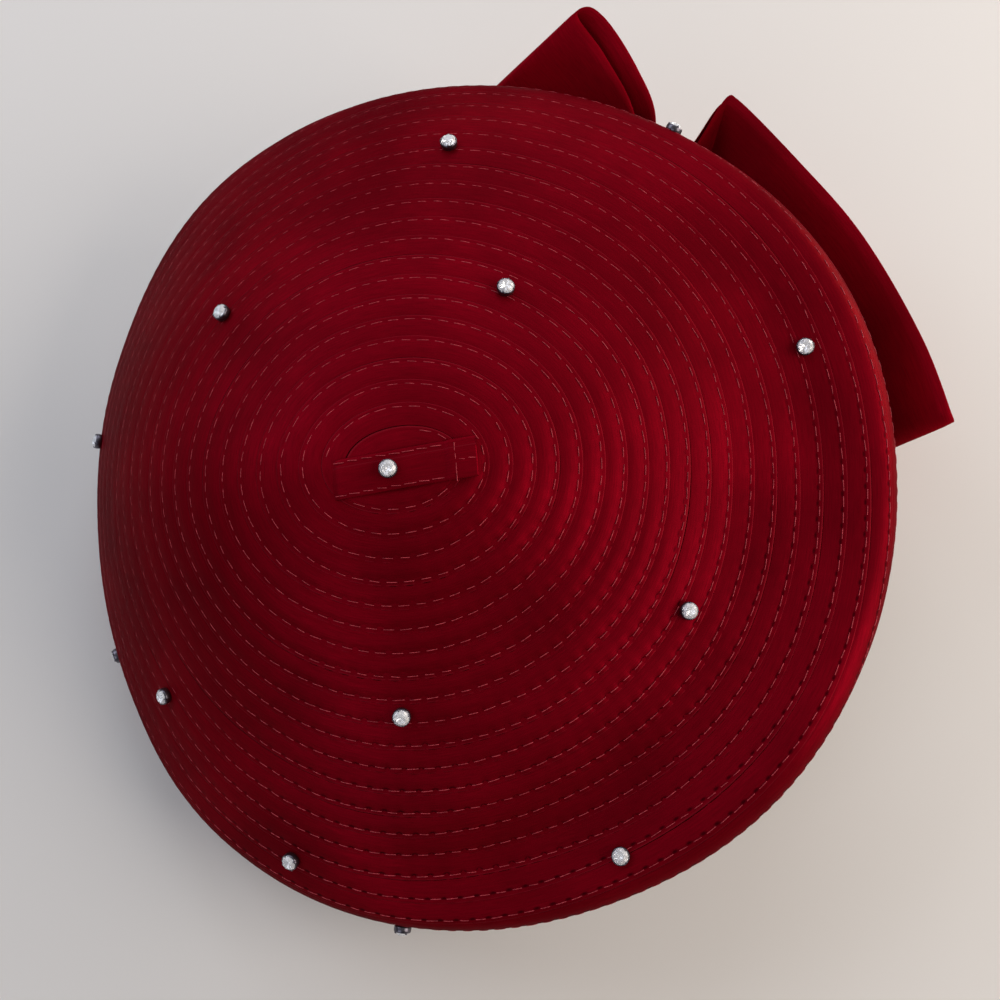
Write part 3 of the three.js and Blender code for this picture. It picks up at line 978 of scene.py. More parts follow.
@dataclass
class FoldedEnd:
    """End of the ribbon, folded and sewn flat over the centre at a slant, with a raised tab."""

    form: CrownForm
    from_mm: float = -25.0
    to_mm: float = 26.5
    middle_mm: float = -2.6
    half_width_mm: float = 6.7
    lean: float = 0.09
    pivot_mm: float = -5.0
    lift_mm: float = 0.36
    half_top: tuple[Pair, ...] = STRIP_HALF_TOP_MM
    half_under: tuple[Pair, ...] = STRIP_HALF_UNDER_MM
    crown_mm: float = 0.74
    station_mm: float = 0.5
    tab_from_mm: float = 16.6
    tab_rise_mm: float = 0.55
    tab_step_mm: float = 0.22
    tuck_mm: float = 1.5
    tuck_reach_mm: float = 3.0
    tuck_fade_mm: float = 0.8
    wave_mm: float = 0.06
    wave_spacing_mm: float = 5.0
    sway_mm: float = 0.15
    sway_spacing_mm: float = 14.0
    spare_along_mm: float = 0.5
    spare_across_mm: float = 0.4
    stitch_pitch_mm: float = 4.72
    stitch_inset_mm: float = 1.3
    stitch_from_end_mm: float = 5.0
    stitch_to_tab_mm: float = 1.5
    tab_line_mm: float = 2.6
    tab_inset_mm: float = 1.2
    clear_edge_mm: float = 0.6
    tab_pitch_mm: float = 3.1
    short_from_tab_mm: float = 4.6
    short_pitch_mm: float = 3.4
    short_middle_mm: float = -0.4
    thread_lift_mm: float = 0.62
    seed: int = 8

    def middle(self, along: np.ndarray) -> np.ndarray:
        """Place of the end's middle line across the centre line, which it crosses at a slant."""
        return self.middle_mm + self.lean * (along - self.pivot_mm)

    def covers(self, places: np.ndarray) -> np.ndarray:
        """Which places lie under the end, with a little to spare."""
        flat = places - self.form.axis
        line = math.radians(self.form.centre_line_turn)
        right = flat[:, 0] * math.cos(line) + flat[:, 1] * math.sin(line)
        back = flat[:, 1] * math.cos(line) - flat[:, 0] * math.sin(line)
        under = (right > self.from_mm) & (right < self.to_mm + self.spare_along_mm)
        return under & (np.abs(back - self.middle(right)) < self.half_width_mm + self.spare_across_mm)

    def mesh(self, lines: StitchLines) -> Mesh:
        """Make the end, and lay its stitches.

        Args:
            lines: Takes the dashes.

        Returns:
            Mesh of the strip.
        """
        edge = self.half_width_mm
        top = [(across - edge, height) for across, height in self.half_top]
        top += [(0.0, self.crown_mm)] + [(-across, height) for across, height in reversed(top)]
        under = [(edge - across, height) for across, height in self.half_under]
        under += [(0.0, 0.0)] + [(-across, height) for across, height in reversed(under)]
        section = np.array(top + under)
        upper = (np.arange(len(section)) < len(top)).astype(float)
        along = np.arange(self.from_mm, self.to_mm + 0.1, self.station_mm)
        random = np.random.default_rng(self.seed)
        rise = self.tab_rise_mm * (1 - fade_past(along, self.tab_from_mm, self.tab_step_mm))
        tuck = self.tuck_mm * fade_past(along, self.from_mm + self.tuck_reach_mm, self.tuck_fade_mm)
        wave = self.wave_mm * wander(random, along, self.wave_spacing_mm)
        sway = self.sway_mm * wander(random, along, self.sway_spacing_mm)
        lift = self.lift_mm + section[None, :, 1] - tuck[:, None]
        lift = lift + (rise + wave)[:, None] * upper[None, :]
        across = (self.middle(along) + sway)[:, None] + section[None, :, 0]
        rings = self.form.over_centre(along[:, None], across, lift)
        self._sew(lines)
        return band_mesh("centre_strip_ribbon", rings, along - along[0], round_the_section(section))

    def _sew(self, lines: StitchLines) -> None:
        """Lay the stitches: along both edges, across the tab and along the tab."""
        edge = self.half_width_mm
        start = self.from_mm + self.stitch_from_end_mm
        dashes = np.arange(start, self.tab_from_mm - self.stitch_to_tab_mm, self.stitch_pitch_mm)
        for side in (-1, 1):
            self._dashes(dashes, self.middle(dashes) + side * (edge - self.stitch_inset_mm), 0.0, lines)
        down = np.arange(self.tab_inset_mm - edge, edge - self.clear_edge_mm, self.tab_pitch_mm)
        tab_line = np.full(len(down), self.tab_from_mm + self.tab_line_mm)
        self._dashes(tab_line, self.middle(tab_line) + down, 90.0, lines)
        start = self.tab_from_mm + self.short_from_tab_mm
        short = np.arange(start, self.to_mm - self.clear_edge_mm, self.short_pitch_mm)
        self._dashes(short, self.middle(short) + self.short_middle_mm, 0.0, lines)

    def _dashes(self, along: np.ndarray, across: np.ndarray, slant: float, lines: StitchLines) -> None:
        """Lay one line of dashes.

        Args:
            along: Places along the centre line.
            across: Places across it.
            slant: Degrees that the thread is turned from the centre line.
            lines: Takes the dashes.
        """
        lift = self.lift_mm + self.thread_lift_mm + self.tab_rise_mm * (along > self.tab_from_mm)
        places = self.form.over_centre(along, across, lift)
        step = 0.2
        run = step * math.cos(math.radians(slant))
        rise = step * math.sin(math.radians(slant))
        runs = self.form.over_centre(along + run, across + rise, lift) - places
        sides = self.form.over_centre(along - rise, across + run, lift) - places
        lines.add(places, runs, np.cross(runs, sides))


@dataclass
class RibbonCrown:
    """Crown sewn from one long ribbon, row lapped over row, with its folded end over the centre."""

    form: CrownForm
    stitch_pitch_mm: float = 5.9
    stations_per_stitch: int = 4
    stations_per_piece: int = 5200
    first_turn: float = -1.5
    stitch_start_turn: float = -1.2
    hole_phase: float = 0.75
    turns_past_hem: float = 0.9
    taper_floor: float = 0.06
    thinning: float = 1.4
    thinnest: float = 0.3
    pucker_mm: float = 0.14
    pucker_level: float = 0.8
    pucker_spread: float = 0.3
    pucker_spacing_mm: float = 11.0
    pucker_rest: float = 0.35
    front_azimuth: float = 300.0
    front_last_row: float = 16.2
    front_fade_rows: float = 0.5
    front_pucker: float = 3.4
    front_crest_mm: float = 0.30
    front_groove_mm: float = 0.14
    front_wave: float = 1.5
    inner_azimuth: float = 272.0
    inner_last_row: float = 8.5
    inner_fade_rows: float = 1.2
    inner_level: float = 0.55
    inner_swing: float = 0.5
    inner_floor: float = 0.3
    inner_crest_mm: float = 0.45
    inner_groove_mm: float = 0.22
    crest_across: float = 0.55
    crest_half_width: float = 0.25
    row_wave_mm: float = 0.05
    row_wave_spacing_mm: float = 16.0
    line_wander_rows: float = 0.025
    line_wander_spacing_mm: float = 60.0
    shown_from: float = 0.15
    shown_to: float = 1.19
    thread_lift_mm: float = 0.12
    thread_sink_mm: float = 0.29
    thread_bright_azimuth: float = 335.0
    thread_lowest_mm: float = 1.0
    thread_ahead_turns: float = 0.002
    seed: int = 7

    def turns(self) -> tuple[np.ndarray, np.ndarray]:
        """Stations along the ribbon.

        Returns:
            Distance along the stitch line in millimetres, and the turn of the spiral, at each station.
        """
        fine = np.arange(self.first_turn, self.form.hem_row + self.turns_past_hem, 1 / 360)
        line = self.form.place(-360 * fine, self._rows(fine, STITCH_ACROSS))
        length = run_length(line)
        step = self.stitch_pitch_mm / self.stations_per_stitch
        along = np.arange(0.0, length[-1], step)
        return along, np.interp(along, length, fine)

    def _rows(self, turns: np.ndarray, across: np.ndarray | float) -> np.ndarray:
        """Row on the crown of a place across the ribbon, drawn in where it runs out at the hem."""
        return turns - 1 + across * self._share(turns)

    def _share(self, turns: np.ndarray) -> np.ndarray:
        """Share of the ribbon's width that is left before the hem."""
        widest = max(point.across for point in RIBBON_SECTION)
        return np.clip((self.form.hem(-360 * turns) - turns + 1) / widest, self.taper_floor, 1.0)

    def build(self, satin: Material, thread: Material) -> None:
        """Make the ribbon rows, the folded end and the stitches.

        Args:
            satin: Finish of the ribbon.
            thread: Finish of the stitches.
        """
        along, turns = self.turns()
        rings = self._rings(along, turns)
        normals = ring_normals(rings)
        pitch = self.form.row_pitch
        section = np.array([[point.across * pitch, point.lift] for point in RIBBON_SECTION])
        across = round_the_section(section)
        count = math.ceil(len(along) / self.stations_per_piece)
        cuts = np.linspace(0, len(along) - 1, count + 1).astype(int)
        for number, (start, last) in enumerate(zip(cuts[:-1], cuts[1:]), 1):
            stretch = slice(start, last + 1)
            mesh = band_mesh(f"ribbon_rows_{number}", rings[stretch], along[stretch], across)
            mesh.normals_split_custom_set_from_vertices(normals[stretch].reshape(-1, 3))
            show_piece(mesh, Slot.RIBBON, ("crown",), satin)
        lines = StitchLines()
        end = FoldedEnd(self.form)
        self._row_stitches(along, turns, end, lines)
        show_piece(end.mesh(lines), Slot.RIBBON, ("centre_strip",), satin)
        show_piece(SewingThread().mesh("row_stitches", lines, thread), Slot.RIBBON, ())

    def _rings(self, along: np.ndarray, turns: np.ndarray) -> np.ndarray:
        """Ribbon section at every station, puckered at the stitches.

        Args:
            along: Distance along the stitch line.
            turns: Turn of the spiral.

        Returns:
            Stations by section points by three.
        """
        random = np.random.default_rng(self.seed)
        across = np.array([point.across for point in RIBBON_SECTION])
        lifts = np.array([point.lift for point in RIBBON_SECTION])
        puckers = np.array([point.pucker for point in RIBBON_SECTION])
        share = self._share(turns)
        phase = along / self.stitch_pitch_mm
        pull = 0.5 + 0.5 * np.cos(2 * math.pi * (phase - self.hole_phase))
        front = np.maximum(np.cos(np.radians(-360 * turns - self.front_azimuth)), 0.0) ** 2
        front = front * fade_past(turns, self.front_last_row, self.front_fade_rows)
        facing = np.cos(np.radians(-360 * turns - self.inner_azimuth))
        inner = np.clip(self.inner_level + self.inner_swing * facing, self.inner_floor, 1.0)
        inner = inner * fade_past(turns, self.inner_last_row, self.inner_fade_rows)
        uneven = self.pucker_level + self.pucker_spread * wander(random, along, self.pucker_spacing_mm)
        strength = self.pucker_mm * (uneven + self.front_pucker * front)
        wave = self.row_wave_mm * wander(random, along, self.row_wave_spacing_mm)
        wave = wave * (1 + self.front_wave * front)
        drift = self.line_wander_rows * wander(random, along, self.line_wander_spacing_mm)
        shown = (across > self.shown_from) & (across < self.shown_to)
        crest = np.exp(-(((across - self.crest_across) / self.crest_half_width) ** 2)) * shown
        rows = self._rows(turns[:, None], across[None, :] + drift[:, None] * shown[None, :])
        pressed = strength * (pull - self.pucker_rest)
        pressed = pressed + self.front_groove_mm * front + self.inner_groove_mm * inner
        raised = self.front_crest_mm * front + self.inner_crest_mm * inner + wave
        lift = lifts[None, :] * np.clip(self.thinning * share, self.thinnest, 1.0)[:, None]
        lift = lift - pressed[:, None] * puckers[None, :] + raised[:, None] * crest[None, :]
        rings = self.form.place(-360 * turns[:, None], rows, lift)
        rings[..., 2] = np.maximum(rings[..., 2], 0.0)
        return rings

    def _row_stitches(
        self, along: np.ndarray, turns: np.ndarray, end: FoldedEnd, lines: StitchLines
    ) -> None:
        """Lay one dash in each stitch of the rows, but for those under the folded end.

        Args:
            along: Distance along the stitch line.
            turns: Turn of the spiral.
            end: The folded end.
            lines: Takes the dashes.
        """
        groove = next(point.lift for point in RIBBON_SECTION if point.across == STITCH_ACROSS)
        last = along[-1] / self.stitch_pitch_mm - 1
        middles = np.arange(self.hole_phase - 0.5, last) * self.stitch_pitch_mm
        turn = np.interp(middles, along, turns)
        away = 1 - (0.5 + 0.5 * np.cos(np.radians(-360 * turn - self.thread_bright_azimuth))) ** 2
        lift = groove + self.thread_lift_mm - self.thread_sink_mm * away
        rows = self._rows(turn, STITCH_ACROSS)
        places = self.form.place(-360 * turn, rows, lift)
        ahead = turn + self.thread_ahead_turns
        runs = self.form.place(-360 * ahead, self._rows(ahead, STITCH_ACROSS), lift) - places
        rises = self.form.normal(-360 * turn, rows)
        keep = ~end.covers(places) & (turn > self.stitch_start_turn)
        keep &= places[:, 2] > self.thread_lowest_mm
        lines.add(places[keep], runs[keep], rises[keep])


@dataclass(frozen=True)
class LoopRow:
    """One fold line of a bow loop, on its front and on its other side, in millimetres from the axis."""

    top: Triple
    low: Triple
    back_top: Triple
    back_low: Triple


@dataclass(frozen=True)
class LoopEnd:
    """Fold at the outer end of a bow loop."""

    top: Triple
    low: Triple


LOOPS = {
    Side.RIGHT: (
        LoopRow((99, 146, 83), (98, 139, 50), (98, 148.2, 82), (97, 141.2, 49)),
        LoopRow((112, 158, 97), (104, 135, 20), (111, 160, 94), (101, 140.5, 19)),
        LoopRow((123.5, 171, 112), (110, 131, 7), (122.5, 172, 106.5), (108, 143, 0)),
        LoopRow((126, 169.5, 112), (111.5, 129, 7), (127.5, 169, 106.5), (122, 135, 0)),
        LoopRow((150, 141.5, 110), (119, 107, 6), (150.5, 141.5, 104), (129.5, 114.5, 0)),
        LoopRow((174, 112.5, 105), (130, 83, 6), (174.5, 112.5, 99), (141, 90, 0)),
        LoopRow((197.3, 68.8, 98), (138, 58, 6), (196.8, 69.3, 92), (149, 63, 0)),
        LoopRow((207, 42, 92.5), (143, 37, 7), (207, 43, 87.5), (150, 40, 0)),
    ),
    Side.LEFT: (
        LoopRow((88, 147.5, 80), (83, 143.5, 50), (92, 149.5, 79), (88, 147.5, 50)),
        LoopRow((86, 169, 101), (50, 157, 46), (95, 169, 100), (64, 165, 44)),
        LoopRow((72, 187, 115), (16, 169, 46), (86, 183, 112), (32, 179, 42)),
        LoopRow((60, 199, 124.5), (-3, 181, 52), (71, 198, 123.5), (8, 187, 48)),
    ),
}
LOOP_ENDS = {
    Side.RIGHT: LoopEnd((209.5, 39.2, 89), (148, 32, 3)),
    Side.LEFT: LoopEnd((64.5, 200.5, 126), (-2, 186.5, 52)),
}


def smooth_path(points: np.ndarray, steps: int) -> np.ndarray:
    """Centripetal curve through points, with an even count of steps between them.

    Args:
        points: Places that the curve passes.
        steps: Number of equal parameter steps from end to end.

    Returns:
        Places along the curve, one more than the steps.
    """
    before = 2 * points[0] - points[1]
    after = 2 * points[-1] - points[-2]
    knots = np.vstack([before, points, after])
    spans = np.linalg.norm(np.diff(knots, axis=0), axis=1) ** 0.5
    places = np.linspace(0, len(points) - 1, steps + 1)
    first = np.minimum(places.astype(int), len(points) - 2)
    part = (places - first)[:, None]
    prior, start, stop, beyond = (knots[first + shift] for shift in range(4))
    span_in, span, span_out = (spans[first + shift][:, None] for shift in range(3))
    middle = (stop - start) / span
    leave = ((start - prior) / span_in - (stop - prior) / (span_in + span) + middle) * span
    reach = (middle - (beyond - start) / (span + span_out) + (beyond - stop) / span_out) * span
    square = -3 * start + 3 * stop - 2 * leave - reach
    cube = 2 * start - 2 * stop + leave + reach
    return start + part * (leave + part * (square + part * cube))


@dataclass
class SideBow:
    """Flat satin bow under the edge: two loops gathered into a wrapped knot."""

    form: CrownForm
    steps: int = 168
    steps_across: int = 24
    thickness_mm: float = 1.1
    gather_mm: float = 0.3
    gather_reach_mm: float = 12.0
    gathers_across: float = 4.0
    slack_mm: float = 0.5
    slack_spacing_mm: float = 45.0
    edge_share: float = 0.35
    near_edge_share: float = 0.9
    edge_fold_mm: float = 0.5
    puff_mm: float = 5.0
    puff_reach_mm: float = 30.0
    knot_azimuth: float = 58.0
    knot_half_length_mm: float = 12.0
    knot_half_depth_mm: float = 9.5
    knot_bottom_mm: float = 37.0
    knot_under_hem_mm: float = 1.35
    knot_sides: int = 72
    knot_steps: int = 40
    knot_waist: float = 0.08
    knot_pleats: int = 9
    knot_pleat_mm: float = 0.6
    knot_pleat_spread: float = 0.3
    knot_pleat_skew: float = 0.5
    knot_pleat_phase: float = 0.4
    knot_pleat_power: float = 0.7
    knot_end_power: float = 7.0
    knot_end_share: float = 0.02
    seed: int = 21

    def build(self, satin: Material) -> None:
        """Make both loops and the knot.

        Args:
            satin: Finish of the bow.
        """
        for side in Side:
            node = f"bow_loop_{side.value}"
            loop = show_piece(self._loop(side, node + "_band"), Slot.BOW, (node,), satin)
        show_piece(self._knot(), Slot.BOW, ("bow_knot",), satin)

    def _loop(self, side: Side, name: str) -> Mesh:
        """Band of one loop, out from the knot, round its fold and back.

        Args:
            side: Which loop.
            name: Name of the mesh.

        Returns:
            Closed sheet with gathers near the knot.
        """
        rows, end = LOOPS[side], LOOP_ENDS[side]
        back = rows[::-1]
        tops = np.array([row.top for row in rows] + [end.top] + [row.back_top for row in back], float)
        lows = np.array([row.low for row in rows] + [end.low] + [row.back_low for row in back], float)
        top_edge = smooth_path(tops, self.steps) + self.form.axis
        low_edge = smooth_path(lows, self.steps) + self.form.axis
        part = np.linspace(0, 1, self.steps_across + 1)[None, :, None]
        grid = top_edge[:, None] * (1 - part) + low_edge[:, None] * part
        middle = grid[:, self.steps_across // 2]
        along = run_length(middle)
        random = np.random.default_rng(self.seed + len(rows))
        from_knot = np.minimum(along, along[-1] - along)
        gather = self.gather_mm * np.exp(-from_knot / self.gather_reach_mm)
        shares = part[0, :, 0]
        phase = 2 * math.pi * self.gathers_across * shares + random.uniform(0, 6)
        to_fold = np.abs(along - along[-1] / 2)
        puff = self.puff_mm * (1 - np.exp(-from_knot / self.puff_reach_mm))
        puff = puff * (1 - np.exp(-to_fold / self.puff_reach_mm))
        slack = puff + self.slack_mm * wander(random, along, self.slack_spacing_mm)
        bulge = gather[:, None] * np.cos(phase)[None, :]
        bulge = bulge + slack[:, None] * np.sin(math.pi * shares)[None, :]
        normals = unit(np.cross(np.gradient(grid, axis=1), np.gradient(grid, axis=0)))
        grid = grid + normals * bulge[..., None]
        lengths = np.linalg.norm(np.diff(grid, axis=1), axis=2).mean(0)
        across = np.concatenate([[0.0], np.cumsum(lengths)])
        half = np.full(self.steps_across + 1, self.thickness_mm / 2)
        half[[0, -1]] *= self.edge_share
        half[[1, -2]] *= self.near_edge_share
        outer = grid + normals * half[None, :, None]
        inner = grid - normals * half[None, :, None]
        rings = np.concatenate([outer, inner[:, ::-1]], 1)
        rings[..., 2] = np.maximum(rings[..., 2], 0.0)
        width = across[-1]
        LOG.info("%s: %.0f mm wide and %.0f mm long before folding", name, width, along[-1])
        turned = width + self.edge_fold_mm
        round_uv = np.concatenate([across, turned + across, [2 * turned]])
        return band_mesh(name, rings, along, round_uv)

    def _knot(self) -> Mesh:
        """Wrapped knot under the hem, drawn in at its waist, with upright pleats.

        Returns:
            Closed mesh.
        """
        seat = self.form.place(self.knot_azimuth, self.form.hem_row, -self.form.wall / 2)
        top = seat[2] - self.knot_under_hem_mm
        turn = np.arange(self.knot_sides) / self.knot_sides * 2 * math.pi
        random = np.random.default_rng(self.seed)
        rise = np.linspace(0, 1, self.knot_steps + 1)
        ends = np.abs(2 * rise - 1) ** self.knot_end_power
        girth = np.clip(1 - ends, self.knot_end_share, 1) ** 0.5
        girth = girth * (1 - self.knot_waist * np.sin(math.pi * rise))
        skew = self.knot_pleat_skew * np.sin(2 * math.pi * rise + self.knot_pleat_phase)[:, None]
        waves = np.abs(np.cos(self.knot_pleats / 2 * turn[None, :] + skew))
        pleats = waves**self.knot_pleat_power
        depth = self.knot_pleat_mm * (1 + self.knot_pleat_spread * random.normal(0, 1, 1))
        shrink = (depth * (pleats - 1)) * girth[:, None]
        long_side = (self.knot_half_length_mm * girth)[:, None] + shrink
        short_side = (self.knot_half_depth_mm * girth)[:, None] + shrink
        spin = math.radians(self.knot_azimuth - 90)
        length = long_side * np.cos(turn)[None, :]
        width = short_side * np.sin(turn)[None, :]
        x = seat[0] + length * math.cos(spin) - width * math.sin(spin)
        y = seat[1] + length * math.sin(spin) + width * math.cos(spin)
        heights = rise * (top - self.knot_bottom_mm)
        z = np.broadcast_to((self.knot_bottom_mm + heights)[:, None], x.shape)
        rings = np.stack([x, y, z], -1)
        side = 2 * math.pi * self.knot_half_length_mm / self.knot_sides
        return band_mesh("bow_knot_wrap", rings, heights, np.arange(self.knot_sides + 1) * side)


@dataclass(frozen=True)
class StonePlace:
    """Where a rhinestone is set: azimuth, ribbon row, extra lift, and its turn in degrees."""

    azimuth: float
    row: float
    over: float = 0.0
    spin: float = 0.0


STONE_PLACES = (
    StonePlace(255.5, -2.37, 1.25, 10),
    StonePlace(85.5, 13.0, 0.0, 31),
    StonePlace(135.5, 8.9, 0.0, 5),
    StonePlace(65, 6.1, 0.0, 40),
    StonePlace(21.5, 15.3, 0.0, 17),
    StonePlace(336.5, 10.5, 0.0, 28),
    StonePlace(272.5, 7.9, 0.0, 3),
    StonePlace(218.5, 14.1, 0.0, 22),
    StonePlace(254.5, 16.0, 0.0, 36),
    StonePlace(302, 16.3, 0.0, 12),
    StonePlace(57, 18.2, -0.85, 8),
    StonePlace(163, 18.3, -0.4, 26),
    StonePlace(202, 18.9, 0.0, 15),
    StonePlace(271.5, 18.6, 0.0, 33),
)


CUP_PROFILE_MM = (
    (2.2, -0.6),
    (2.9, -0.35),
    (3.2, 0.35),
    (3.22, 1.5),
    (3.08, 2.12),
    (2.92, 2.2),
    (2.87, 2.0),
    (2.87, 1.5),
    (2.3, 0.5),
    (2.0, 0.4),
)


def ring_of_points(
    points: list[Triple], radius: float, height: float, count: int, shift: float = 0.0
) -> list[int]:
    """Add a level ring of points.

    Args:
        points: Takes the points.
        radius: Size of the ring.
        height: Level of the ring.
        count: Number of points.
        shift: Turn of the ring, as a share of the step from point to point.

    Returns:
        Numbers of the new points.
    """
    first = len(points)
    for number in range(count):
        turn = (number + shift) / count * 2 * math.pi
        points.append((radius * math.cos(turn), radius * math.sin(turn), height))
    return list(range(first, len(points)))


def stacked_faces(rings: list[list[int]]) -> list[tuple[int, ...]]:
    """Faces round a stack of equal rings, closed at both ends.

    Args:
        rings: Point numbers of each ring, from the foot on.

    Returns:
        Point numbers of each face.
    """
    faces = [tuple(reversed(rings[0])), tuple(rings[-1])]
    for lower, upper in zip(rings[:-1], rings[1:]):
        for side in range(len(lower)):
            faces.append((lower[side - 1], lower[side], upper[side], upper[side - 1]))
    return faces


@dataclass
class Rhinestones:
    """Foil-backed stones in claw cups, scattered over the crown."""

    form: CrownForm
    seat_gap_mm: float = 0.35
    stone_sides: int = 8
    table_radius_mm: float = 1.6
    table_top_mm: float = 3.3
    star_radius_mm: float = 2.3
    star_top_mm: float = 2.9
    girdle_radius_mm: float = 2.85
    girdle_top_mm: float = 2.15
    girdle_low_mm: float = 1.95
    culet_mm: float = 0.7
    cup_sides: int = 32
    cup_profile_mm: tuple[Pair, ...] = CUP_PROFILE_MM
    claw_count: int = 4
    claw_rings: int = 4
    claw_sides: int = 8
    claw_from_middle_mm: float = 2.85
    claw_height_mm: float = 2.2
    claw_half_size_mm: Triple = (0.46, 0.36, 0.5)
    claw_lean_mm: float = 0.12
    claw_offset: float = 0.25
    claw_tip: float = 0.02

    def build(self, glass: Material, foil: Material, cup: Material) -> None:
        """Set every stone.

        Args:
            glass: Finish of the stone's face.
            foil: Finish of its mirrored back.
            cup: Finish of the setting.
        """
        for number, place in enumerate(STONE_PLACES, 1):
            node = f"rhinestone_{number:02d}"
            mesh = self._mesh(node + "_set", place)
            show_piece(mesh, Slot.STONE, (node,), glass, foil, cup)

    def _mesh(self, name: str, place: StonePlace) -> Mesh:
        """One stone in its cup, where it sits on the crown.

        Args:
            name: Name of the mesh.
            place: Where it sits.

        Returns:
            Mesh with the glass, foil and cup finishes.
        """
        points: list[Triple] = []
        faces: list[tuple[int, ...]] = []
        finish: list[StonePart] = []
        self._stone(points, faces, finish)
        self._cup(points, faces, finish)
        self._claws(points, faces, finish)
        lift = self.seat_gap_mm + place.over
        base = self.form.place(place.azimuth, place.row, 0.0)
        up = Vector(self.form.normal(place.azimuth, place.row))
        turn = up.to_track_quat("Z", "Y").to_matrix() @ Matrix.Rotation(math.radians(place.spin), 3, "Z")
        middle = Vector(base) + up * lift
        mesh = bpy.data.meshes.new(name)
        mesh.from_pydata([tuple((middle + turn @ Vector(p)) * MILLIMETRE) for p in points], [], faces)
        mesh.polygons.foreach_set("material_index", finish)
        smooth = [part is StonePart.CUP for part in finish]
        mesh.polygons.foreach_set("use_smooth", smooth)
        mesh.update()
        return mesh

    def _stone(self, points: list[Triple], faces: list[tuple], finish: list[StonePart]) -> None:
        """Add the cut stone: table, star, kite and girdle facets over a foiled pavilion."""
        sides = self.stone_sides
        table = ring_of_points(points, self.table_radius_mm, self.table_top_mm, sides)
        star = ring_of_points(points, self.star_radius_mm, self.star_top_mm, sides, 0.5)
        girdle = ring_of_points(points, self.girdle_radius_mm, self.girdle_top_mm, 2 * sides)
        belt = ring_of_points(points, self.girdle_radius_mm, self.girdle_low_mm, 2 * sides)
        culet = len(points)
        points.append((0.0, 0.0, self.culet_mm))
        glass = [tuple(table)]
        for corner in range(sides):
            following = (corner + 1) % sides
            glass.append((table[corner], star[corner], table[following]))
            glass.append((table[corner], star[corner - 1], girdle[2 * corner], star[corner]))
            glass.append((star[corner], girdle[2 * corner], girdle[2 * corner + 1]))
            glass.append((star[corner], girdle[2 * corner + 1], girdle[2 * following]))
        foil = []
        for corner in range(2 * sides):
            following = (corner + 1) % (2 * sides)
            glass.append((girdle[corner], belt[corner], belt[following], girdle[following]))
            foil.append((belt[following], belt[corner], culet))
        faces += glass + foil
        finish += [StonePart.GLASS] * len(glass) + [StonePart.FOIL] * len(foil)

    def _cup(self, points: list[Triple], faces: list[tuple], finish: list[StonePart]) -> None:
        """Add the stamped cup, a turned ring with a closed foot."""
        sides = self.cup_sides
        rings = [ring_of_points(points, *corner, sides) for corner in self.cup_profile_mm]
        metal = stacked_faces(rings)
        faces += metal
        finish += [StonePart.CUP] * len(metal)

    def _claws(self, points: list[Triple], faces: list[tuple], finish: list[StonePart]) -> None:
        """Add the claws, small rounded beads bent over the girdle."""
        half_out, half_wide, half_tall = self.claw_half_size_mm
        falls = math.pi * np.linspace(1 - self.claw_tip, self.claw_tip, self.claw_rings + 1)
        spins = np.arange(self.claw_sides) / self.claw_sides * 2 * math.pi
        for claw in range(self.claw_count):
            turn = (claw + self.claw_offset) / self.claw_count * 2 * math.pi
            outward = Vector((math.cos(turn), math.sin(turn), 0))
            sideways = Vector((-math.sin(turn), math.cos(turn), 0))
            middle = outward * self.claw_from_middle_mm + Vector((0, 0, self.claw_height_mm))
            rings = []
            for fall in falls:
                rings.append(list(range(len(points), len(points) + self.claw_sides)))
                tall = Vector((0, 0, half_tall * math.cos(fall)))
                for spin in spins:
                    out = half_out * math.sin(fall) * math.cos(spin) - self.claw_lean_mm * math.cos(fall)
                    wide = half_wide * math.sin(fall) * math.sin(spin)
                    points.append(tuple(middle + outward * out + sideways * wide + tall))
            metal = stacked_faces(rings)
            faces += metal
            finish += [StonePart.CUP] * len(metal)


@dataclass(frozen=True)
class SoftLight:
    """One soft box: where it stands, its size and how strong it is."""

    name: str
    place: Triple
    size: float
    watts: float
    colour: str = "#ffffff"


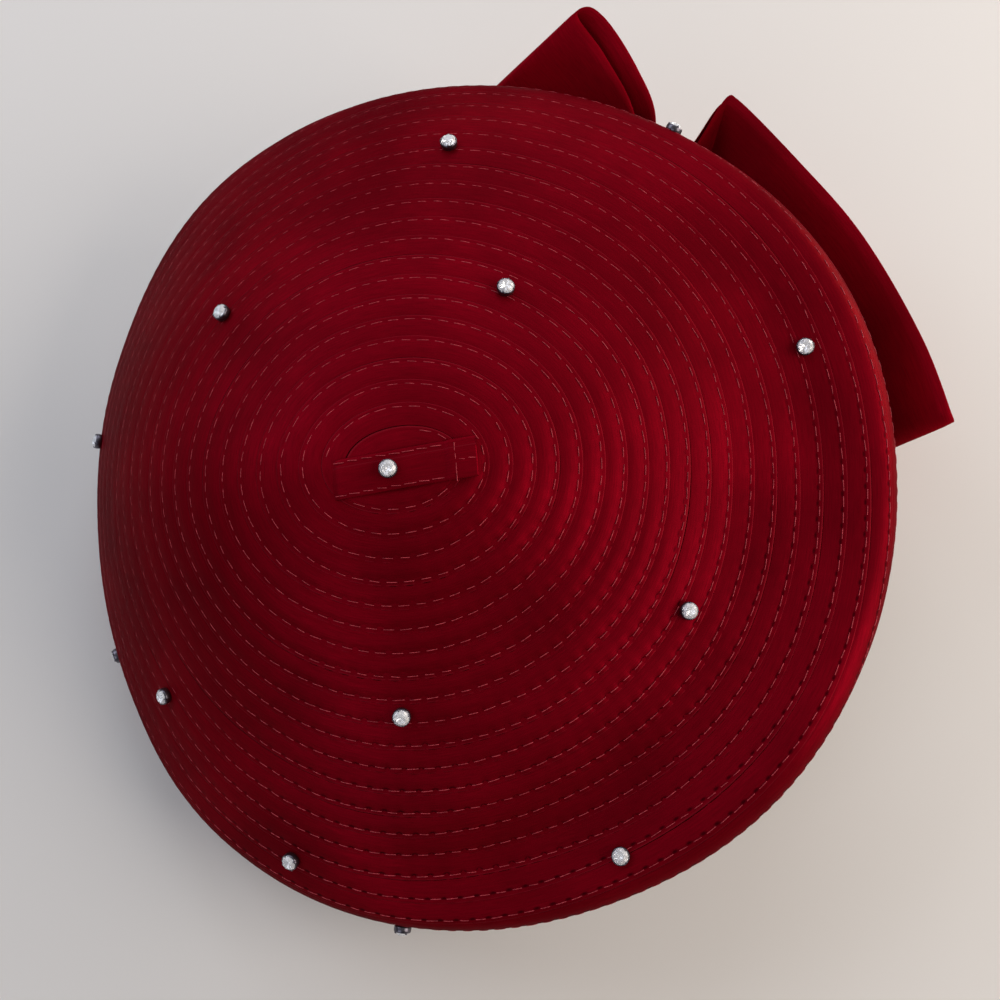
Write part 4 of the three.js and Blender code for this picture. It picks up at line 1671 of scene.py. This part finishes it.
@dataclass
class Studio:
    """Pale floor, soft light and the camera."""

    form: CrownForm
    floor_colour: str = "#dcd8d2"
    floor_size: float = 8.0
    floor_grain_mm: float = 166.667
    floor_roughness: Pair = (0.75, 0.9)
    floor_specular: float = 0.2
    sky_colour: str = "#f3f5f8"
    sky_strength: float = 0.06
    aim: Triple = (0.0, 0.0, 0.07)
    lights: tuple[SoftLight, ...] = (
        SoftLight("low_right_soft_box", (1.26, 0.73, 0.43), 0.8, 14.0, "#fff4ea"),
        SoftLight("right_soft_box", (1.25, -0.3, 0.84), 1.0, 15.0, "#fff4ea"),
        SoftLight("back_soft_box", (0.0, 1.23, 0.93), 1.0, 6.8, "#eaf0ff"),
        SoftLight("back_left_soft_box", (-1.06, 0.61, 0.93), 1.0, 8.4, "#eaf0ff"),
        SoftLight("front_left_soft_box", (-0.79, -0.94, 0.93), 1.0, 5.0, "#eaf0ff"),
        SoftLight("overhead_panel", (0.0, 0.3, 1.6), 1.6, 2.4),
    )
    camera_from_axis_mm: Triple = (34.5, -118.0, 445.0)
    camera_down: float = 71.4
    camera_roll: float = 1.64
    lens_mm: float = 36.0
    sensor_mm: float = 36.0
    nearest_m: float = 0.01

    def build(self) -> None:
        """Make the floor, the lights and the camera."""
        self._floor()
        self._world()
        for light in self.lights:
            self._light(light)
        self._camera()
        bpy.context.scene.view_settings.view_transform = "Standard"

    def _floor(self) -> None:
        """Matt pale floor."""
        material, tree = new_material("matt_floor_paint")
        finish_surface(
            material,
            {"Base Color": linear_colour(self.floor_colour), "Specular IOR Level": self.floor_specular},
            {"Roughness": uneven(tree, self.floor_grain_mm, 3.0, self.floor_roughness)},
        )
        half = self.floor_size / 2
        mesh = bpy.data.meshes.new("studio_floor")
        corners = [(-half, -half, 0), (half, -half, 0), (half, half, 0), (-half, half, 0)]
        mesh.from_pydata(corners, [], [(0, 1, 2, 3)])
        mesh.materials.append(material)
        floor = put_in_scene("studio_floor", mesh)

    def _world(self) -> None:
        """Even pale light from all round."""
        world = bpy.data.worlds.new("studio_sky")
        world.use_nodes = True
        tree = world.node_tree
        tree.nodes.clear()
        sky = add_node(
            tree,
            "ShaderNodeBackground",
            {"Color": linear_colour(self.sky_colour), "Strength": self.sky_strength},
        )
        add_node(tree, "ShaderNodeOutputWorld", {}, {"Surface": sky})
        bpy.context.scene.world = world

    def _light(self, light: SoftLight) -> None:
        """Square soft box aimed at the hat."""
        lamp = bpy.data.lights.new(light.name, "AREA")
        lamp.size = light.size
        lamp.energy = light.watts
        lamp.color = linear_colour(light.colour)[:3]
        stand = put_in_scene(light.name, lamp)
        place = Vector(light.place)
        facing = (Vector(self.aim) - place).to_track_quat("-Z", "Y")
        stand.matrix_world = Matrix.Translation(place) @ facing.to_matrix().to_4x4()

    def _camera(self) -> None:
        """Camera above the front edge, looking steeply down."""
        down = math.radians(self.camera_down)
        roll = math.radians(self.camera_roll)
        forward = Vector((0, math.cos(down), -math.sin(down)))
        right = Vector((1, 0, 0))
        below = Vector((0, -math.sin(down), -math.cos(down)))
        image_right = right * math.cos(roll) - below * math.sin(roll)
        image_down = right * math.sin(roll) + below * math.cos(roll)
        turn = Matrix((image_right, -image_down, -forward)).transposed().to_4x4()
        place = Vector(self.form.axis) + Vector(self.camera_from_axis_mm)
        data = bpy.data.cameras.new("photo_camera")
        data.lens = self.lens_mm
        data.sensor_width = self.sensor_mm
        data.clip_start = self.nearest_m
        camera = put_in_scene("photo_camera", data)
        camera.matrix_world = Matrix.Translation(place * MILLIMETRE) @ turn
        bpy.context.scene.camera = camera


def crown_in_frame() -> CrownForm:
    """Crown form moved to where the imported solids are, by the knot that hangs under its hem.

    Returns:
        Form whose axis is in the hat's frame.
    """
    form = CrownForm()
    low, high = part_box("bow_knot")
    knot = (np.array(low) + np.array(high)) / 2 / MILLIMETRE
    seat = form.place(SideBow.knot_azimuth, form.hem_row, -form.wall / 2)
    form.axis = np.array([knot[0] - seat[0], knot[1] - seat[1], 0.0])
    return form


def main() -> None:
    """Build the hat piece by piece, and set the studio round it."""
    logging.basicConfig(level=logging.INFO, format="%(name)s %(message)s")
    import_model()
    form = crown_in_frame()
    LOG.info("spiral axis at %s mm", np.round(form.axis, 3))
    hidden_edge = RIBBON_SECTION[0].across
    # Inset of the painted shade in the stitch hollows.
    painted_pinch_shade_inset_mm = 0.3
    ribbon_satin = SatinFinish(
        "ribbon_satin_crimson",
        "#7a0314",
        "#5e020e",
        selvedge_from_edge_mm=(SELVEDGE_ACROSS - hidden_edge) * form.row_pitch,
        painted_pinch_shade_phase=RibbonCrown.hole_phase,
        painted_pinch_shade_from_edge_mm=(STITCH_ACROSS - hidden_edge) * form.row_pitch - painted_pinch_shade_inset_mm,
    ).material()
    # The bow is the ribbon's satin painted lighter, standing in for light that its loops under the brim
    # lack.
    bow_satin = SatinFinish("bow_satin_painted_lighter", "#920418", "#740311").material()
    thread = ThreadFinish().material()
    glass = CrystalFinish().material()
    foil = SilverFinish("silver_foil_back", "#ffffff", 0.12).material()
    # The cup's grey is partly its own plating and partly painted shade: darker than silver, for the dark
    # ring round each stone.
    cup = SilverFinish("stamped_cup_painted_darker", "#66626a", 0.35).material()
    RibbonCrown(form).build(ribbon_satin, thread)
    SideBow(form).build(bow_satin)
    Rhinestones(form).build(glass, foil, cup)
    Studio(form).build()


if __name__ == "__main__":
    main()
